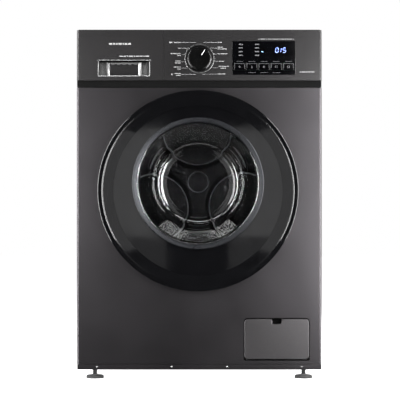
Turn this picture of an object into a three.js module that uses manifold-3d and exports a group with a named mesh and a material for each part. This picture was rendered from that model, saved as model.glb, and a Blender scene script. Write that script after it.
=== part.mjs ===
// Front load washing machine of the slim 7 kg class, in millimetres.
// X runs to the right as seen from the front, Y runs from the front to the back, Z is up.
// The origin is on the floor, at the middle of the machine's footprint.

import * as THREE from 'three';
import { mergeVertices } from 'three/addons/utils/BufferGeometryUtils.js';
import Module from 'manifold-3d';

const wasm = await Module();
wasm.setup();

// ---------------------------------------------------------------- driving dimensions

const WIDTH = 595;
const HEIGHT = 850;
const DEPTH = 495;
const CABINET_DEPTH = 450;
const DOOR_PROUD = 32.5;

const GAP = 0.3;
const SHEET = 1.5;
const CORNER = 5;
const LIP = 14;
const BEZEL = 12;

const FOOT_HEIGHT = 24;
const PLINTH_TOP = 37.4;
const PANEL_BOTTOM = 37.8;
const PANEL_TOP = 708.8;
const FASCIA_BOTTOM = 727;
const TOP_THICK = 15;
const DRAWER_SEAM = -85.8;

const DOOR_X = -3;
const DOOR_Z = 459;
const DOOR_RADIUS = 244;
const COVER_RADIUS = 205.7;
const GLASS_RISE = 18;
const GLASS_RADIUS = 159;
const HINGE_X = -235;
const HINGE_Y = -235;

const AXIS_X = -3;
const AXIS_Z = 482;
const MOUTH_RADIUS = 178;
const TUB_RADIUS = 251;
const TUB_FLANGE = 256;
const DRUM_RADIUS = 235;
const PULLEY_RADIUS = 140;
const MOTOR_X = 110;
const MOTOR_Z = -300;
const MOTOR_PULLEY_RADIUS = 12;

const KNOB_X = 0.5;
const KNOB_Z = 780;
const WINDOW = { left: 80, right: 233.6, bottom: 740.4, top: 822.3, corner: 3 };
const KEY = { width: 26, height: 16.8, first: 98, pitch: 29.7, z: 760.4, count: 5 };

const FLAP = { left: 108.6, right: 268.1, bottom: 47.9, top: 148.8, corner: 10 };
const FLAP_AXIS = { y: -211.9, z: 49.7 };
const FILTER_X = 188;
const FILTER_Z = 92;

const SPRING_X = 265;
const SPRING_Y = 105;
const DAMPER_X = 170;
const DAMPER_Y = -60;

const HALF = WIDTH / 2;
const DOOR_FACE = -DEPTH / 2;
const FRONT = DOOR_FACE + DOOR_PROUD;
const REAR = FRONT + CABINET_DEPTH;
const CONNECTOR_END = DEPTH / 2;
const SEAM = FRONT + BEZEL;
const TOP_UNDERSIDE = HEIGHT - TOP_THICK;

// ---------------------------------------------------------------- outlines and solids

function arc(x, y, radius, from, to, steps) {
  const points = [];
  for (let i = 0; i <= steps; i += 1) {
    const angle = from + (to - from) * i / steps;
    points.push(new THREE.Vector2(x + radius * Math.cos(angle), y + radius * Math.sin(angle)));
  }
  return points;
}

function circle(x, y, radius, steps) {
  return arc(x, y, radius, 0, 2 * Math.PI, steps).slice(0, -1);
}

function points(...pairs) {
  return pairs.map(([x, y]) => new THREE.Vector2(x, y));
}

// Radii run from the lower left corner, counter-clockwise.
function rounded(left, bottom, right, top, radii, steps = 4) {
  const corners = [[left, bottom, 1, 1], [right, bottom, -1, 1], [right, top, -1, -1], [left, top, 1, -1]];
  return corners.flatMap(([x, y, inwardX, inwardY], i) => {
    const radius = radii[i];
    if (radius === 0) return points([x, y]);
    const start = Math.PI + i * Math.PI / 2;
    return arc(x + inwardX * radius, y + inwardY * radius, radius, start, start + Math.PI / 2, steps);
  });
}

function extruded(outline, depth, holes) {
  const shape = new THREE.Shape(outline);
  shape.holes = holes.map((hole) => new THREE.Path(hole));
  return new THREE.ExtrudeGeometry(shape, { depth, bevelEnabled: false });
}

// A plate seen from the front: its outline is in X and Z, its front face is at y.
function plate(outline, y, thickness, holes = []) {
  return extruded(outline, thickness, holes).rotateX(Math.PI / 2).translate(0, y + thickness, 0);
}

// An upright prism: its outline is in X and Y.
function prism(outline, bottom, height, holes = []) {
  return extruded(outline, height, holes).translate(0, 0, bottom);
}

function block(x0, y0, z0, x1, y1, z1) {
  const box = new THREE.BoxGeometry(x1 - x0, y1 - y0, z1 - z0);
  return box.translate((x0 + x1) / 2, (y0 + y1) / 2, (z0 + z1) / 2);
}

// A solid of revolution about Y. The profile's pairs are radius and y.
function turned(profile, segments) {
  const outline = points(...profile);
  if (profile[0][0] > 0) outline.push(outline[0].clone());
  if (THREE.ShapeUtils.area(outline) < 0) outline.reverse();
  return new THREE.LatheGeometry(outline, segments);
}

function turnedUpright(profile, segments) {
  return turned(profile, segments).rotateX(Math.PI / 2);
}

function rod(x, z, radius, y0, y1, segments = 24) {
  const cylinder = new THREE.CylinderGeometry(radius, radius, y1 - y0, segments);
  return cylinder.translate(x, (y0 + y1) / 2, z);
}

function pin(x, y, radius, z0, z1, segments = 16) {
  const cylinder = new THREE.CylinderGeometry(radius, radius, z1 - z0, segments);
  return cylinder.rotateX(Math.PI / 2).translate(x, y, (z0 + z1) / 2);
}

function toManifold(geometry) {
  const bare = geometry.clone();
  bare.deleteAttribute('normal');
  bare.deleteAttribute('uv');
  const merged = mergeVertices(bare, 1e-4);
  const index = merged.index.array;
  const triangles = [];
  for (let i = 0; i < index.length; i += 3) {
    const [a, b, c] = [index[i], index[i + 1], index[i + 2]];
    if (a !== b && b !== c && c !== a) triangles.push(a, b, c);
  }
  const mesh = new wasm.Mesh({
    numProp: 3,
    vertProperties: new Float32Array(merged.attributes.position.array),
    triVerts: new Uint32Array(triangles),
  });
  return new wasm.Manifold(mesh);
}

function toGeometry(solid) {
  const mesh = solid.getMesh();
  const geometry = new THREE.BufferGeometry();
  geometry.setAttribute('position', new THREE.BufferAttribute(mesh.vertProperties, 3));
  geometry.setIndex(new THREE.BufferAttribute(mesh.triVerts, 1));
  geometry.computeVertexNormals();
  return geometry;
}

function cut(body, ...tools) {
  return toGeometry(tools.reduce((left, tool) => left.subtract(toManifold(tool)), toManifold(body)));
}

function join(...bodies) {
  return toGeometry(bodies.slice(1).reduce((sum, next) => sum.add(toManifold(next)), toManifold(bodies[0])));
}

function common(first, second) {
  return toGeometry(toManifold(first).intersect(toManifold(second)));
}

// ---------------------------------------------------------------- finishes and placing

function finish(color, roughness, metalness) {
  return () => new THREE.MeshStandardMaterial({ color, roughness, metalness });
}

const charcoalPaint = finish(0x4a484b, 0.45, 0.5);
const fasciaPaint = finish(0x4c4a4b, 0.4, 0.45);
const darkPlastic = finish(0x181818, 0.55, 0);
const glossBlack = finish(0x0c0c0e, 0.12, 0);
const chrome = finish(0xc8c8ca, 0.15, 1);
const clearGlass = finish(0x2a2d31, 0.05, 0);
const stainless = finish(0xb0b2b5, 0.3, 1);
const zincSteel = finish(0x9a9c9e, 0.4, 0.9);
const greyPlastic = finish(0x8c8e90, 0.55, 0);
const palePlastic = finish(0xd8d9da, 0.5, 0);
const greyRubber = finish(0x5a5c5e, 0.8, 0);
const blackRubber = finish(0x1c1c1c, 0.85, 0);
const concrete = finish(0x8f8c86, 0.9, 0);
const castAlloy = finish(0xa4a6a8, 0.45, 0.9);
const boardGreen = finish(0x24523a, 0.5, 0);

function add(parent, name, geometry, material) {
  const mesh = new THREE.Mesh(geometry, material());
  mesh.name = name;
  parent.add(mesh);
  return mesh;
}

function groupAt(parent, x, y, z) {
  const group = new THREE.Group();
  group.position.set(x, y, z);
  parent.add(group);
  return group;
}

// ---------------------------------------------------------------- cabinet

// A folded side sheet with a lip at the front and back, and a hanger for a suspension spring.
function sidePanel(side) {
  const outer = side * HALF;
  const inner = side * (HALF - SHEET);
  const lip = side * (HALF - LIP);
  const front = SEAM + GAP;
  const sheet = points(
    [outer, front], [outer, REAR], [lip, REAR], [lip, REAR - SHEET],
    [inner, REAR - SHEET], [inner, front + SHEET], [lip, front + SHEET], [lip, front],
  );
  const hangerEnd = side * (SPRING_X - 12) + AXIS_X;
  const [left, right] = [Math.min(inner, hangerEnd), Math.max(inner, hangerEnd)];
  const hanger = block(left - 0.5, SPRING_Y - 14, 785, right + 0.5, SPRING_Y + 14, 789);
  return join(prism(sheet, FOOT_HEIGHT, TOP_UNDERSIDE - GAP - FOOT_HEIGHT), hanger);
}

const INLET = { x: -232, z: 780, hole: 15 };
const DRAIN = { x: 236, z: 300, hole: 15 };
const MAINS = { x: 236, z: 700, hole: 9 };
const REAR_EDGE = HALF - LIP - GAP;

function rearPanel() {
  const sheet = rounded(-REAR_EDGE, FOOT_HEIGHT, REAR_EDGE, TOP_UNDERSIDE - GAP, [0, 0, 0, 0]);
  const access = rounded(-190, 260, 190, 690, [70, 70, 70, 70], 6);
  const ports = [INLET, DRAIN, MAINS].map((port) => circle(port.x, port.z, port.hole, 20));
  return plate(sheet, REAR - SHEET, SHEET, [access, ...ports]);
}

function rearAccessCover() {
  const flange = plate(rounded(-205, 245, 205, 705, [80, 80, 80, 80], 6), REAR + GAP, 1.2);
  const pressing = plate(rounded(-180, 270, 180, 680, [60, 60, 60, 60], 6), REAR + 1, 5);
  const hollow = plate(rounded(-178.8, 271.2, 178.8, 678.8, [58.8, 58.8, 58.8, 58.8], 6), REAR - 1, 5.8);
  return cut(join(flange, pressing), hollow);
}

function topCover() {
  const outline = rounded(-HALF, SEAM + GAP, HALF, REAR, [0, 0, 6, 6]);
  return prism(outline, TOP_UNDERSIDE, TOP_THICK);
}

const FEET = [[-255, -170], [255, -170], [-255, 205], [255, 205]];
const PAN = { x: HALF - SHEET - GAP, front: SEAM + SHEET + 2 * GAP, rear: REAR - SHEET - GAP, height: 18 };

function basePan() {
  const bottom = FOOT_HEIGHT + GAP;
  const tray = block(-PAN.x, PAN.front, bottom, PAN.x, PAN.rear, bottom + PAN.height);
  const inside = block(-PAN.x + 2, PAN.front + 2, bottom + 2, PAN.x - 2, PAN.rear - 2, bottom + 30);
  const footHoles = FEET.map(([x, y]) => pin(x, y, 6, bottom - 1, bottom + 5));
  return cut(tray, inside, ...footHoles);
}

// The outline of a front sheet: its upright edges turn back with a round corner.
function foldedFront() {
  const [left, right] = [-HALF + CORNER, HALF - CORNER];
  const y = FRONT + CORNER;
  const inner = CORNER - SHEET;
  return [
    ...points([-HALF, SEAM]),
    ...arc(left, y, CORNER, Math.PI, 1.5 * Math.PI, 5),
    ...arc(right, y, CORNER, 1.5 * Math.PI, 2 * Math.PI, 5),
    ...points([HALF, SEAM], [HALF - SHEET, SEAM]),
    ...arc(right, y, inner, 2 * Math.PI, 1.5 * Math.PI, 5),
    ...arc(left, y, inner, 1.5 * Math.PI, Math.PI, 5),
    ...points([-HALF + SHEET, SEAM]),
  ];
}

function frontPanel() {
  const lip = rounded(-HALF + 0.7, FRONT + 0.7, HALF - 0.7, SEAM, [4.5, 4.5, 0, 0]);
  const sheet = prism(foldedFront(), PANEL_BOTTOM, PANEL_TOP - PANEL_BOTTOM);
  const topLip = prism(lip, PANEL_TOP - SHEET, SHEET);
  const bottomLip = prism(lip, PANEL_BOTTOM, SHEET);
  const doorHole = rod(AXIS_X, AXIS_Z, MOUTH_RADIUS, FRONT - 5, SEAM + 5, 44);
  const flapHole = rounded(FLAP.left - 0.8, FLAP.bottom - 1.9, FLAP.right + 0.8, FLAP.top + 0.8,
    [3, 3, 10.5, 10.5]);
  const flapCut = plate(flapHole, FRONT - 1, 8);
  const latchSlot = block(185, FRONT - 1, 444, 201, FRONT + 5, 474);
  return cut(join(sheet, topLip, bottomLip), doorHole, flapCut, latchSlot);
}

function plinthStrip() {
  const edge = HALF - 1;
  const strip = block(-edge, FRONT + 2, FOOT_HEIGHT, edge, SEAM, PLINTH_TOP);
  const hollow = block(-edge + 2, FRONT + 4, FOOT_HEIGHT + 2, edge - 2, SEAM + 1, PLINTH_TOP - 2);
  return cut(strip, hollow);
}

function recessStrip() {
  const outline = rounded(-HALF + 1, PANEL_TOP + GAP, HALF - 1, FASCIA_BOTTOM - GAP, [6, 6, 0, 0]);
  return plate(outline, FRONT + 7.5, SEAM - FRONT - 7.5);
}

// ---------------------------------------------------------------- control panel

const DRAWER_FRAME = 3;

function controlFascia() {
  const seen = rounded(DRAWER_SEAM + GAP, FASCIA_BOTTOM, HALF, HEIGHT, [0, 0, 6, 0]);
  const plan = rounded(DRAWER_SEAM, FRONT, HALF, SEAM, [0, CORNER, 0, 0]);
  const shell = common(plate(seen, FRONT, BEZEL), prism(plan, FASCIA_BOTTOM - 1, 130));
  const inside = block(DRAWER_SEAM + 3, FRONT + 3, FASCIA_BOTTOM + 3, HALF - 3, SEAM + 1, HEIGHT - 3);
  const frame = rounded(-HALF, FASCIA_BOTTOM, DRAWER_SEAM + 1, HEIGHT, [0, 0, 0, 6]);
  const drawerHole = rounded(-282, 731, -97, 826, [3, 3, 3, 3]);
  const surround = plate(frame, SEAM - DRAWER_FRAME, DRAWER_FRAME, [drawerHole]);
  const { left, right, bottom, top, corner } = WINDOW;
  const seat = rounded(left - GAP, bottom - GAP, right + GAP, top + GAP, Array(4).fill(corner));
  const opening = block(left + 3, FRONT - 1, bottom + 3, right - 3, FRONT + 5, top - 3);
  const shaftHole = rod(KNOB_X, KNOB_Z, 4.2, FRONT - 1, FRONT + 5);
  return join(cut(shell, inside, plate(seat, FRONT - 1, 3), opening, shaftHole), surround);
}

function keyCentre(i) {
  return KEY.first + i * KEY.pitch;
}

function displayWindow() {
  const { left, right, bottom, top, corner } = WINDOW;
  const holes = Array.from({ length: KEY.count }, (_, i) => {
    const reach = KEY.width / 2 + 0.4;
    const rise = KEY.height / 2 + 0.4;
    const x = keyCentre(i);
    return rounded(x - reach, KEY.z - rise, x + reach, KEY.z + rise, [1, 1, 1, 1], 2);
  });
  return plate(rounded(left, bottom, right, top, Array(4).fill(corner)), FRONT - 0.6, 2.3, holes);
}

// One key, about its own centre.
function keyCap() {
  const [reach, rise] = [KEY.width / 2, KEY.height / 2];
  return plate(rounded(-reach, -rise, reach, rise, [0.8, 0.8, 0.8, 0.8], 2), FRONT - 1.4, 8.4);
}

function controlBoard() {
  const board = block(-30, SEAM - 2.4, 736, 255, SEAM - 0.8, 838);
  const display = block(92, FRONT + 3.5, 776, 224, SEAM - 2, 818);
  const switches = Array.from({ length: KEY.count }, (_, i) => {
    const x = keyCentre(i);
    return block(x - 3, SEAM - 3.6, KEY.z - 3, x + 3, SEAM - 2, KEY.z + 3);
  });
  const encoder = block(KNOB_X - 14, FRONT + 4, KNOB_Z - 14, KNOB_X + 14, SEAM - 2, KNOB_Z + 14);
  return cut(join(board, display, ...switches, encoder), rod(KNOB_X, KNOB_Z, 3.6, FRONT, SEAM - 2.6));
}

// The ring and the knob are turned about the knob's own axis.
function knobRing() {
  return turned([[33.3, FRONT - GAP], [33.3, FRONT - 2.6], [34.8, FRONT - 3.6], [36.3, FRONT - 2.6],
    [36.3, FRONT - GAP]], 32);
}

const POINTER_ANGLE = -33 * Math.PI / 180;

function programmeKnob() {
  const face = FRONT - 19;
  const cap = turned([[0, face], [23.5, face], [27.2, face + 2.6], [28.3, FRONT - 3], [31.5, FRONT - 2.4],
    [31.5, FRONT - 0.6], [3, FRONT - 0.6], [3, FRONT + 8], [0, FRONT + 8]], 28);
  const pointer = block(-1.2, face - 0.6, 8, 1.2, face + 1, 23).rotateY(-POINTER_ANGLE);
  return join(cap, pointer);
}

// ---------------------------------------------------------------- detergent drawer

const HANDLE = { left: -245.7, right: -120.3, bottom: 738, top: 777.6 };
const TRAY = { left: -279, right: -100, front: -187.7, rear: 40, bottom: 740, top: 812, wall: 2 };
const TRAY_WALLS = [-279, -212, -164, -102];

function drawerFront() {
  const back = SEAM - DRAWER_FRAME - GAP;
  const seen = rounded(-HALF, FASCIA_BOTTOM, DRAWER_SEAM - GAP, HEIGHT, [0, 0, 0, 6]);
  const plan = rounded(-HALF, FRONT, DRAWER_SEAM, back, [CORNER, 0, 0, 0]);
  const panel = common(plate(seen, FRONT, back - FRONT), prism(plan, FASCIA_BOTTOM - 1, 130));
  const scoop = block(HANDLE.left - 3, back - 1, HANDLE.bottom - 3, HANDLE.right + 3, -188, 797);
  const mouth = plate(rounded(HANDLE.left, HANDLE.bottom, HANDLE.right, HANDLE.top, [3, 3, 3, 3]),
    FRONT - 1, 26);
  const undercut = block(HANDLE.left + 2, FRONT + 6, HANDLE.top - 8, HANDLE.right - 2, -190, 794);
  return cut(join(panel, scoop), mouth, undercut);
}

function drawerTray() {
  const body = block(TRAY.left, TRAY.front, TRAY.bottom, TRAY.right, TRAY.rear, TRAY.top);
  const pockets = TRAY_WALLS.slice(0, -1).map((x, i) => block(x + TRAY.wall, TRAY.front + TRAY.wall,
    TRAY.bottom + TRAY.wall, TRAY_WALLS[i + 1], TRAY.rear - TRAY.wall, TRAY.top + 1));
  return cut(body, ...pockets);
}

// The insert that closes the softener compartment, with its siphon tube.
function siphonCap() {
  const lid = block(-209.6, -30, 800, -164.4, 32, 810);
  return join(lid, pin(-187, 10, 6, 745, 802, 12));
}

function dispenserHousing() {
  const shell = block(-283, SEAM + SHEET + 2 * GAP, 729, -96, 75, 829);
  const inside = block(-281, SEAM - 1, 731, -98, 73, 827);
  const outlet = pin(-190, 50, 15, 702, 730, 20);
  const outletBore = pin(-190, 50, 12, 700, 732, 20);
  return cut(join(shell, outlet), inside, outletBore);
}

function inletValve() {
  const body = block(-252, 150, 758, -214, 222, 802);
  const flange = rod(INLET.x, INLET.z, 20, 221, 232.8, 20);
  const connector = rod(INLET.x, INLET.z, 13, 230, CONNECTOR_END, 20);
  const bore = rod(INLET.x, INLET.z, 9, 226, CONNECTOR_END + 1, 16);
  return cut(join(body, flange, connector), bore);
}

// A socket in the rear sheet, with a flange outside and a neck through the sheet's hole.
function rearSocket(port, bore, proud) {
  const neck = rod(port.x, port.z, port.hole - 0.6, REAR - 8, REAR + 1.5, 20);
  const collar = rod(port.x, port.z, port.hole + 4, REAR + GAP, REAR + proud, 20);
  return cut(join(neck, collar), rod(port.x, port.z, bore, REAR - 9, REAR + proud + 1, 16));
}

// ---------------------------------------------------------------- door, about its own centre

function doorOuterRing() {
  const back = FRONT - 5.5;
  const ring = turned([
    [244, back], [244, -238], [241.5, -244], [236.5, -247], [234, DOOR_FACE], [231, -246.8],
    [206, -239], [206, -232], [209, -232], [209, -236.6], [231, -243.6], [235.5, -243.8],
    [238.8, -241.4], [241, -237], [241, back],
  ], 44);
  // The back of the left wall is open where the hinge stands in the ring.
  const notch = block(-250, -238, -52, -222, back + 1, 52);
  return cut(ring, notch);
}

function doorCover() {
  const edge = circle(0, 0, COVER_RADIUS - 0.4, 44);
  const porthole = circle(0, GLASS_RISE, GLASS_RADIUS, 36);
  return plate(edge, -237, 3, [porthole]);
}

function doorGlass() {
  return turned([
    [0, -126], [87, -126], [99, -130], [108, -139], [147, -222], [149.5, -229.3], [158.7, -229.3],
    [158.7, -233.7], [145.5, -233.7], [143, -224], [104, -141.5], [96.5, -134.2], [86, -130.5], [0, -130.5],
  ], 36);
}

const LEAF = { left: HINGE_X - DOOR_X, right: -182, half: 27, front: -231, back: -227 };

function doorInnerFrame() {
  const back = -219.5;
  const disc = plate(circle(0, 0, 212, 44), -231.7, 12.2, [circle(0, GLASS_RISE, 150.5, 36)]);
  const seat = rod(0, GLASS_RISE, 159.9, -232, -229, 36);
  const leafPocket = block(-216, -232, -LEAF.half - 0.4, LEAF.right + 0.4, LEAF.back + GAP,
    LEAF.half + 0.4);
  const hookPocket = block(190.5, back - 3, -7.4, 199.5, back + 1, 7.4);
  return cut(disc, seat, leafPocket, hookPocket);
}

function doorHingeArm() {
  const x = LEAF.left;
  const barrel = pin(x, HINGE_Y, 5.5, -LEAF.half, LEAF.half);
  const leaf = block(x, LEAF.front, -LEAF.half, LEAF.right, LEAF.back, LEAF.half);
  const bore = pin(x, HINGE_Y, 3.4, -LEAF.half - 1, LEAF.half + 1);
  return cut(join(barrel, leaf), bore);
}

function doorLatchHook() {
  const foot = block(191, -222.2, -7, 199, -216, 7);
  const stem = block(189, -217, -7, 195, -198, 7);
  const barb = block(189, -203, -7, 198, -198, 7);
  return join(foot, stem, barb);
}

// Swan-neck lugs carry the pin clear of the ring's wall as the door swings round it.
function doorHingeBracket() {
  const x = HINGE_X;
  const neck = points([x + 1, HINGE_Y + 4.6], [x + 8, HINGE_Y + 11.5], [x + 8, HINGE_Y + 18.5],
    [x + 16, HINGE_Y + 18.5], [x + 16, HINGE_Y + 9], [x + 4.4, HINGE_Y]);
  const leaf = block(x + 4, FRONT - 2.5, DOOR_Z - 50, -190, FRONT - GAP, DOOR_Z + 50);
  const lugs = [-43, 28].flatMap((low) => [
    prism(neck, DOOR_Z + low, 15),
    pin(x, HINGE_Y, 4.8, DOOR_Z + low, DOOR_Z + low + 15),
  ]);
  const hingePin = pin(x, HINGE_Y, 3, DOOR_Z - 43, DOOR_Z + 43);
  return join(leaf, ...lugs, hingePin);
}

function doorLock() {
  const body = block(182, FRONT + 1.8, 428, 226, FRONT + 32, 490);
  return cut(body, block(184.5, FRONT, 446, 200.5, FRONT + 24, 472));
}

// ---------------------------------------------------------------- tub, about the drum's axis

// The bellows clips over the edge of the front sheet's hole and over the neck of the tub.
function doorGasket() {
  return turned([
    [171.5, -217.6], [180.5, -217.6], [180.5, -215.4], [177, -215.4], [177, -213.1], [182, -213.1],
    [185, -203], [185, -190], [174, -184], [168.9, -184], [168.9, -188.5], [181, -193], [181, -201],
    [172, -206.5], [155, -207], [152.5, -210], [155, -213.6], [171.5, -213.6],
  ], 32);
}

function tubFront() {
  const shell = turned([
    [168, -190], [168, -180], [247, -174], [TUB_RADIUS, -170], [TUB_RADIUS, -30], [TUB_FLANGE, -30],
    [TUB_FLANGE, -22.3], [247, -22.3], [247, -168], [245, -170], [165, -176], [165, -190],
  ], 36);
  const lugs = [-DAMPER_X, DAMPER_X].map((x) => block(x - 12, DAMPER_Y - 12, -214, x + 12, DAMPER_Y + 12,
    -184));
  const bore = rod(0, 0, 249, -150, -40, 36);
  return join(shell, ...lugs.map((lug) => cut(lug, bore)));
}

const HEATER_LEG = 18;
const HEATER_Z = -241;

function tubRear() {
  const shell = turned([
    [TUB_FLANGE, -22], [TUB_FLANGE, -14], [TUB_RADIUS, -14], [TUB_RADIUS, 125], [42, 125], [36, 158],
    [13.4, 158], [13.4, 121], [247, 121], [247, -22],
  ], 36);
  const arms = [-1, 1].map((side) => {
    const [inner, outer] = [side * 244, side * (SPRING_X + 8)];
    const arm = block(Math.min(inner, outer), SPRING_Y - 10, 50, Math.max(inner, outer), SPRING_Y + 10, 72);
    return cut(arm, rod(0, 0, 249, 80, 124, 36));
  });
  const heaterHoles = [-1, 1].map((side) => rod(side * HEATER_LEG, HEATER_Z, 3.8, 115, 130, 12));
  return cut(join(shell, ...arms), ...heaterHoles);
}

// A block of cast concrete that sits on top of the tub.
function counterweight() {
  return cut(block(-78, -118, 205, 205, 66, 296), rod(0, 0, TUB_FLANGE + 1.2, -130, 80, 36));
}

function drum() {
  return turned([
    [153, -158], [156, -161.5], [227, -165], [DRUM_RADIUS, -158], [DRUM_RADIUS, 108], [229, 114], [0, 114],
    [0, 112.8], [228.4, 112.8], [233.8, 107.4], [233.8, -157], [226.4, -163.8], [156.6, -160.3],
    [154.2, -157.4],
  ], 40);
}

// A paddle on the inside of the drum, at the bottom; the other two are turned copies.
function lifterOutline(inset) {
  const crown = -196;
  const foot = -230.5 - inset;
  const flare = -215;
  return [...points([inset - 30, foot], [30 - inset, foot], [24 - inset, flare]),
    ...arc(0, crown, 10 - inset, 0.25, Math.PI - 0.25, 6), ...points([inset - 24, flare])];
}

function drumLifter() {
  return cut(plate(lifterOutline(0), -140, 236), plate(lifterOutline(1.6), -138.4, 232.8));
}

function drumSpider() {
  const arms = [0, 1, 2].map((i) => block(-17, 114.4, 0, 17, 119.4, 222).rotateY(i * 2 * Math.PI / 3));
  return join(rod(0, 0, 40, 114.4, 119.6), rod(0, 0, 12.5, 118, 192, 20), ...arms);
}

function drumPulley() {
  const wheel = turned([
    [13.1, 166], [32, 166], [32, 174], [130, 174], [130, 170], [PULLEY_RADIUS, 170], [PULLEY_RADIUS, 186],
    [130, 186], [130, 180], [32, 180], [32, 188], [13.1, 188],
  ], 36);
  const windows = [0, 1, 2, 3, 4].map((i) => {
    const angle = i * 2 * Math.PI / 5;
    return rod(82 * Math.sin(angle), 82 * Math.cos(angle), 34, 170, 184, 12);
  });
  return cut(wheel, ...windows);
}

// The belt's inner or outer outline: two arcs joined by the common tangents.
function beltOutline(offset) {
  const [drumSide, motorSide] = [PULLEY_RADIUS + offset, MOTOR_PULLEY_RADIUS + offset];
  const toMotor = Math.atan2(MOTOR_Z, MOTOR_X);
  const spread = Math.acos((drumSide - motorSide) / Math.hypot(MOTOR_X, MOTOR_Z));
  return [
    ...arc(0, 0, drumSide, toMotor + spread, toMotor + 2 * Math.PI - spread, 36),
    ...arc(MOTOR_X, MOTOR_Z, motorSide, toMotor - spread, toMotor + spread, 12),
  ];
}

function driveBelt() {
  return plate(beltOutline(3.8), 172, 12, [beltOutline(0.4)]);
}

function motorHousing() {
  const can = rod(MOTOR_X, MOTOR_Z, 57, 0, 120, 24);
  const saddle = cut(block(78, 30, -275, 142, 80, -205), rod(0, 0, TUB_RADIUS + 0.8, 20, 90, 36));
  return cut(join(can, saddle), rod(MOTOR_X, MOTOR_Z, 6.6, 58, 125, 16));
}

function motorPulley() {
  const shaft = rod(MOTOR_X, MOTOR_Z, 6, 60, 190, 16);
  return join(shaft, rod(MOTOR_X, MOTOR_Z, MOTOR_PULLEY_RADIUS, 170, 186));
}

function heater() {
  const bend = arc(0, -100, HEATER_LEG, Math.PI, 2 * Math.PI, 8);
  const route = [[-HEATER_LEG, 128], [-HEATER_LEG, 50], [-HEATER_LEG, -30],
    ...bend.map((point) => [point.x, point.y]),
    [HEATER_LEG, -30], [HEATER_LEG, 50], [HEATER_LEG, 128]];
  const path = new THREE.CatmullRomCurve3(route.map(([x, y]) => new THREE.Vector3(x, y, HEATER_Z)));
  const section = new THREE.Shape(circle(0, 0, 3, 6));
  const tube = new THREE.ExtrudeGeometry(section, { steps: 26, bevelEnabled: false, extrudePath: path });
  return join(tube, block(-30, 125.4, HEATER_Z - 7, 30, 131, HEATER_Z + 9));
}

// ---------------------------------------------------------------- suspension, upright pieces

function suspensionSpring() {
  const [low, high] = [AXIS_Z + 72.4, 784.7];
  return turnedUpright([[0, low], [9, low + 6], [9, high - 6], [0, high]], 12);
}

function damper() {
  const [low, high] = [FOOT_HEIGHT + 2.6, AXIS_Z - 214.4];
  return turnedUpright([[0, low], [13, low], [13, 160], [6, 163], [6, high], [0, high]], 14);
}

function levellingFoot() {
  const stem = turnedUpright([[0, 0], [22, 0], [22, 7], [18, 12], [9, 14], [5, 14], [5, 58], [0, 58]], 14);
  const nut = new THREE.CylinderGeometry(11, 11, 6, 6).rotateX(Math.PI / 2).translate(0, 0, 20);
  return join(stem, nut);
}

// ---------------------------------------------------------------- drain pump and its flap

const RECESS = { left: 104, right: 272, bottom: 43, top: 153.5, back: -190 };

function filterRecess() {
  const { left, right, bottom, top, back } = RECESS;
  const box = block(left, FRONT + 1.8, bottom, right, back + 2, top);
  const inside = block(left + 2, FRONT, bottom + 2, right - 2, back, top - 2);
  const saddles = [[106.5, 112.5], [264.2, 269.5]].map(([x0, x1]) => cut(
    block(x0, FLAP_AXIS.y + GAP, bottom + 1, x1, -207, 53),
    new THREE.CylinderGeometry(1.7, 1.7, 20, 12).rotateZ(Math.PI / 2)
      .translate((x0 + x1) / 2, FLAP_AXIS.y, FLAP_AXIS.z),
  ));
  return join(cut(box, inside, rod(FILTER_X, FILTER_Z, 31, back - 1, back + 3)), ...saddles);
}

function drainPump() {
  const barrel = rod(FILTER_X, FILTER_Z, 35, RECESS.back + 2.3, -100);
  const motor = rod(FILTER_X, FILTER_Z, 22, -101, -80);
  const spout = pin(FILTER_X, -135, 13, FILTER_Z + 20, 160);
  const stand = block(162, -180, 26.8, 214, -106, 70);
  return cut(join(barrel, motor, spout, stand), rod(FILTER_X, FILTER_Z, 30, -190, -108),
    pin(FILTER_X, -135, 10, FILTER_Z, 162));
}

function filterCap() {
  const cap = rod(FILTER_X, FILTER_Z, 29, -197, -187);
  const grip = block(FILTER_X - 24, -205, FILTER_Z - 4, FILTER_X + 24, -196, FILTER_Z + 4);
  return join(cap, grip, rod(FILTER_X, FILTER_Z, 23, -188, -122));
}

function filterFlap() {
  const { left, right, bottom, top, corner } = FLAP;
  const leaf = plate(rounded(left, bottom, right, top, Array(4).fill(corner)), FRONT - 0.2, 2.2);
  const notch = plate(rounded(177, 135, 200.5, top + 5, [3, 3, 0, 0]), FRONT - 1, 5);
  const spindle = new THREE.CylinderGeometry(1.3, 1.3, 157, 10).rotateZ(Math.PI / 2)
    .translate((left + right) / 2, FLAP_AXIS.y, FLAP_AXIS.z);
  return join(cut(leaf, notch), spindle);
}

// ---------------------------------------------------------------- assembly

function addCabinet(machine) {
  const cabinet = groupAt(machine, 0, 0, 0);
  add(cabinet, 'side_panel_left', sidePanel(-1), charcoalPaint);
  add(cabinet, 'side_panel_right', sidePanel(1), charcoalPaint);
  add(cabinet, 'rear_panel', rearPanel(), zincSteel);
  add(cabinet, 'rear_access_cover', rearAccessCover(), zincSteel);
  add(cabinet, 'top_cover', topCover(), charcoalPaint);
  add(cabinet, 'base_pan', basePan(), zincSteel);
  add(cabinet, 'front_panel', frontPanel(), charcoalPaint);
  add(cabinet, 'plinth_strip', plinthStrip(), charcoalPaint);
  add(cabinet, 'recess_strip', recessStrip(), darkPlastic);
  add(cabinet, 'inlet_valve', inletValve(), palePlastic);
  add(cabinet, 'drain_outlet', rearSocket(DRAIN, 10, 11), greyPlastic);
  add(cabinet, 'mains_gland', rearSocket(MAINS, 4.5, 9), blackRubber);
  FEET.forEach(([x, y], i) => {
    add(groupAt(cabinet, x, y, 0), `foot_${i + 1}`, levellingFoot(), blackRubber);
  });
}

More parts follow.
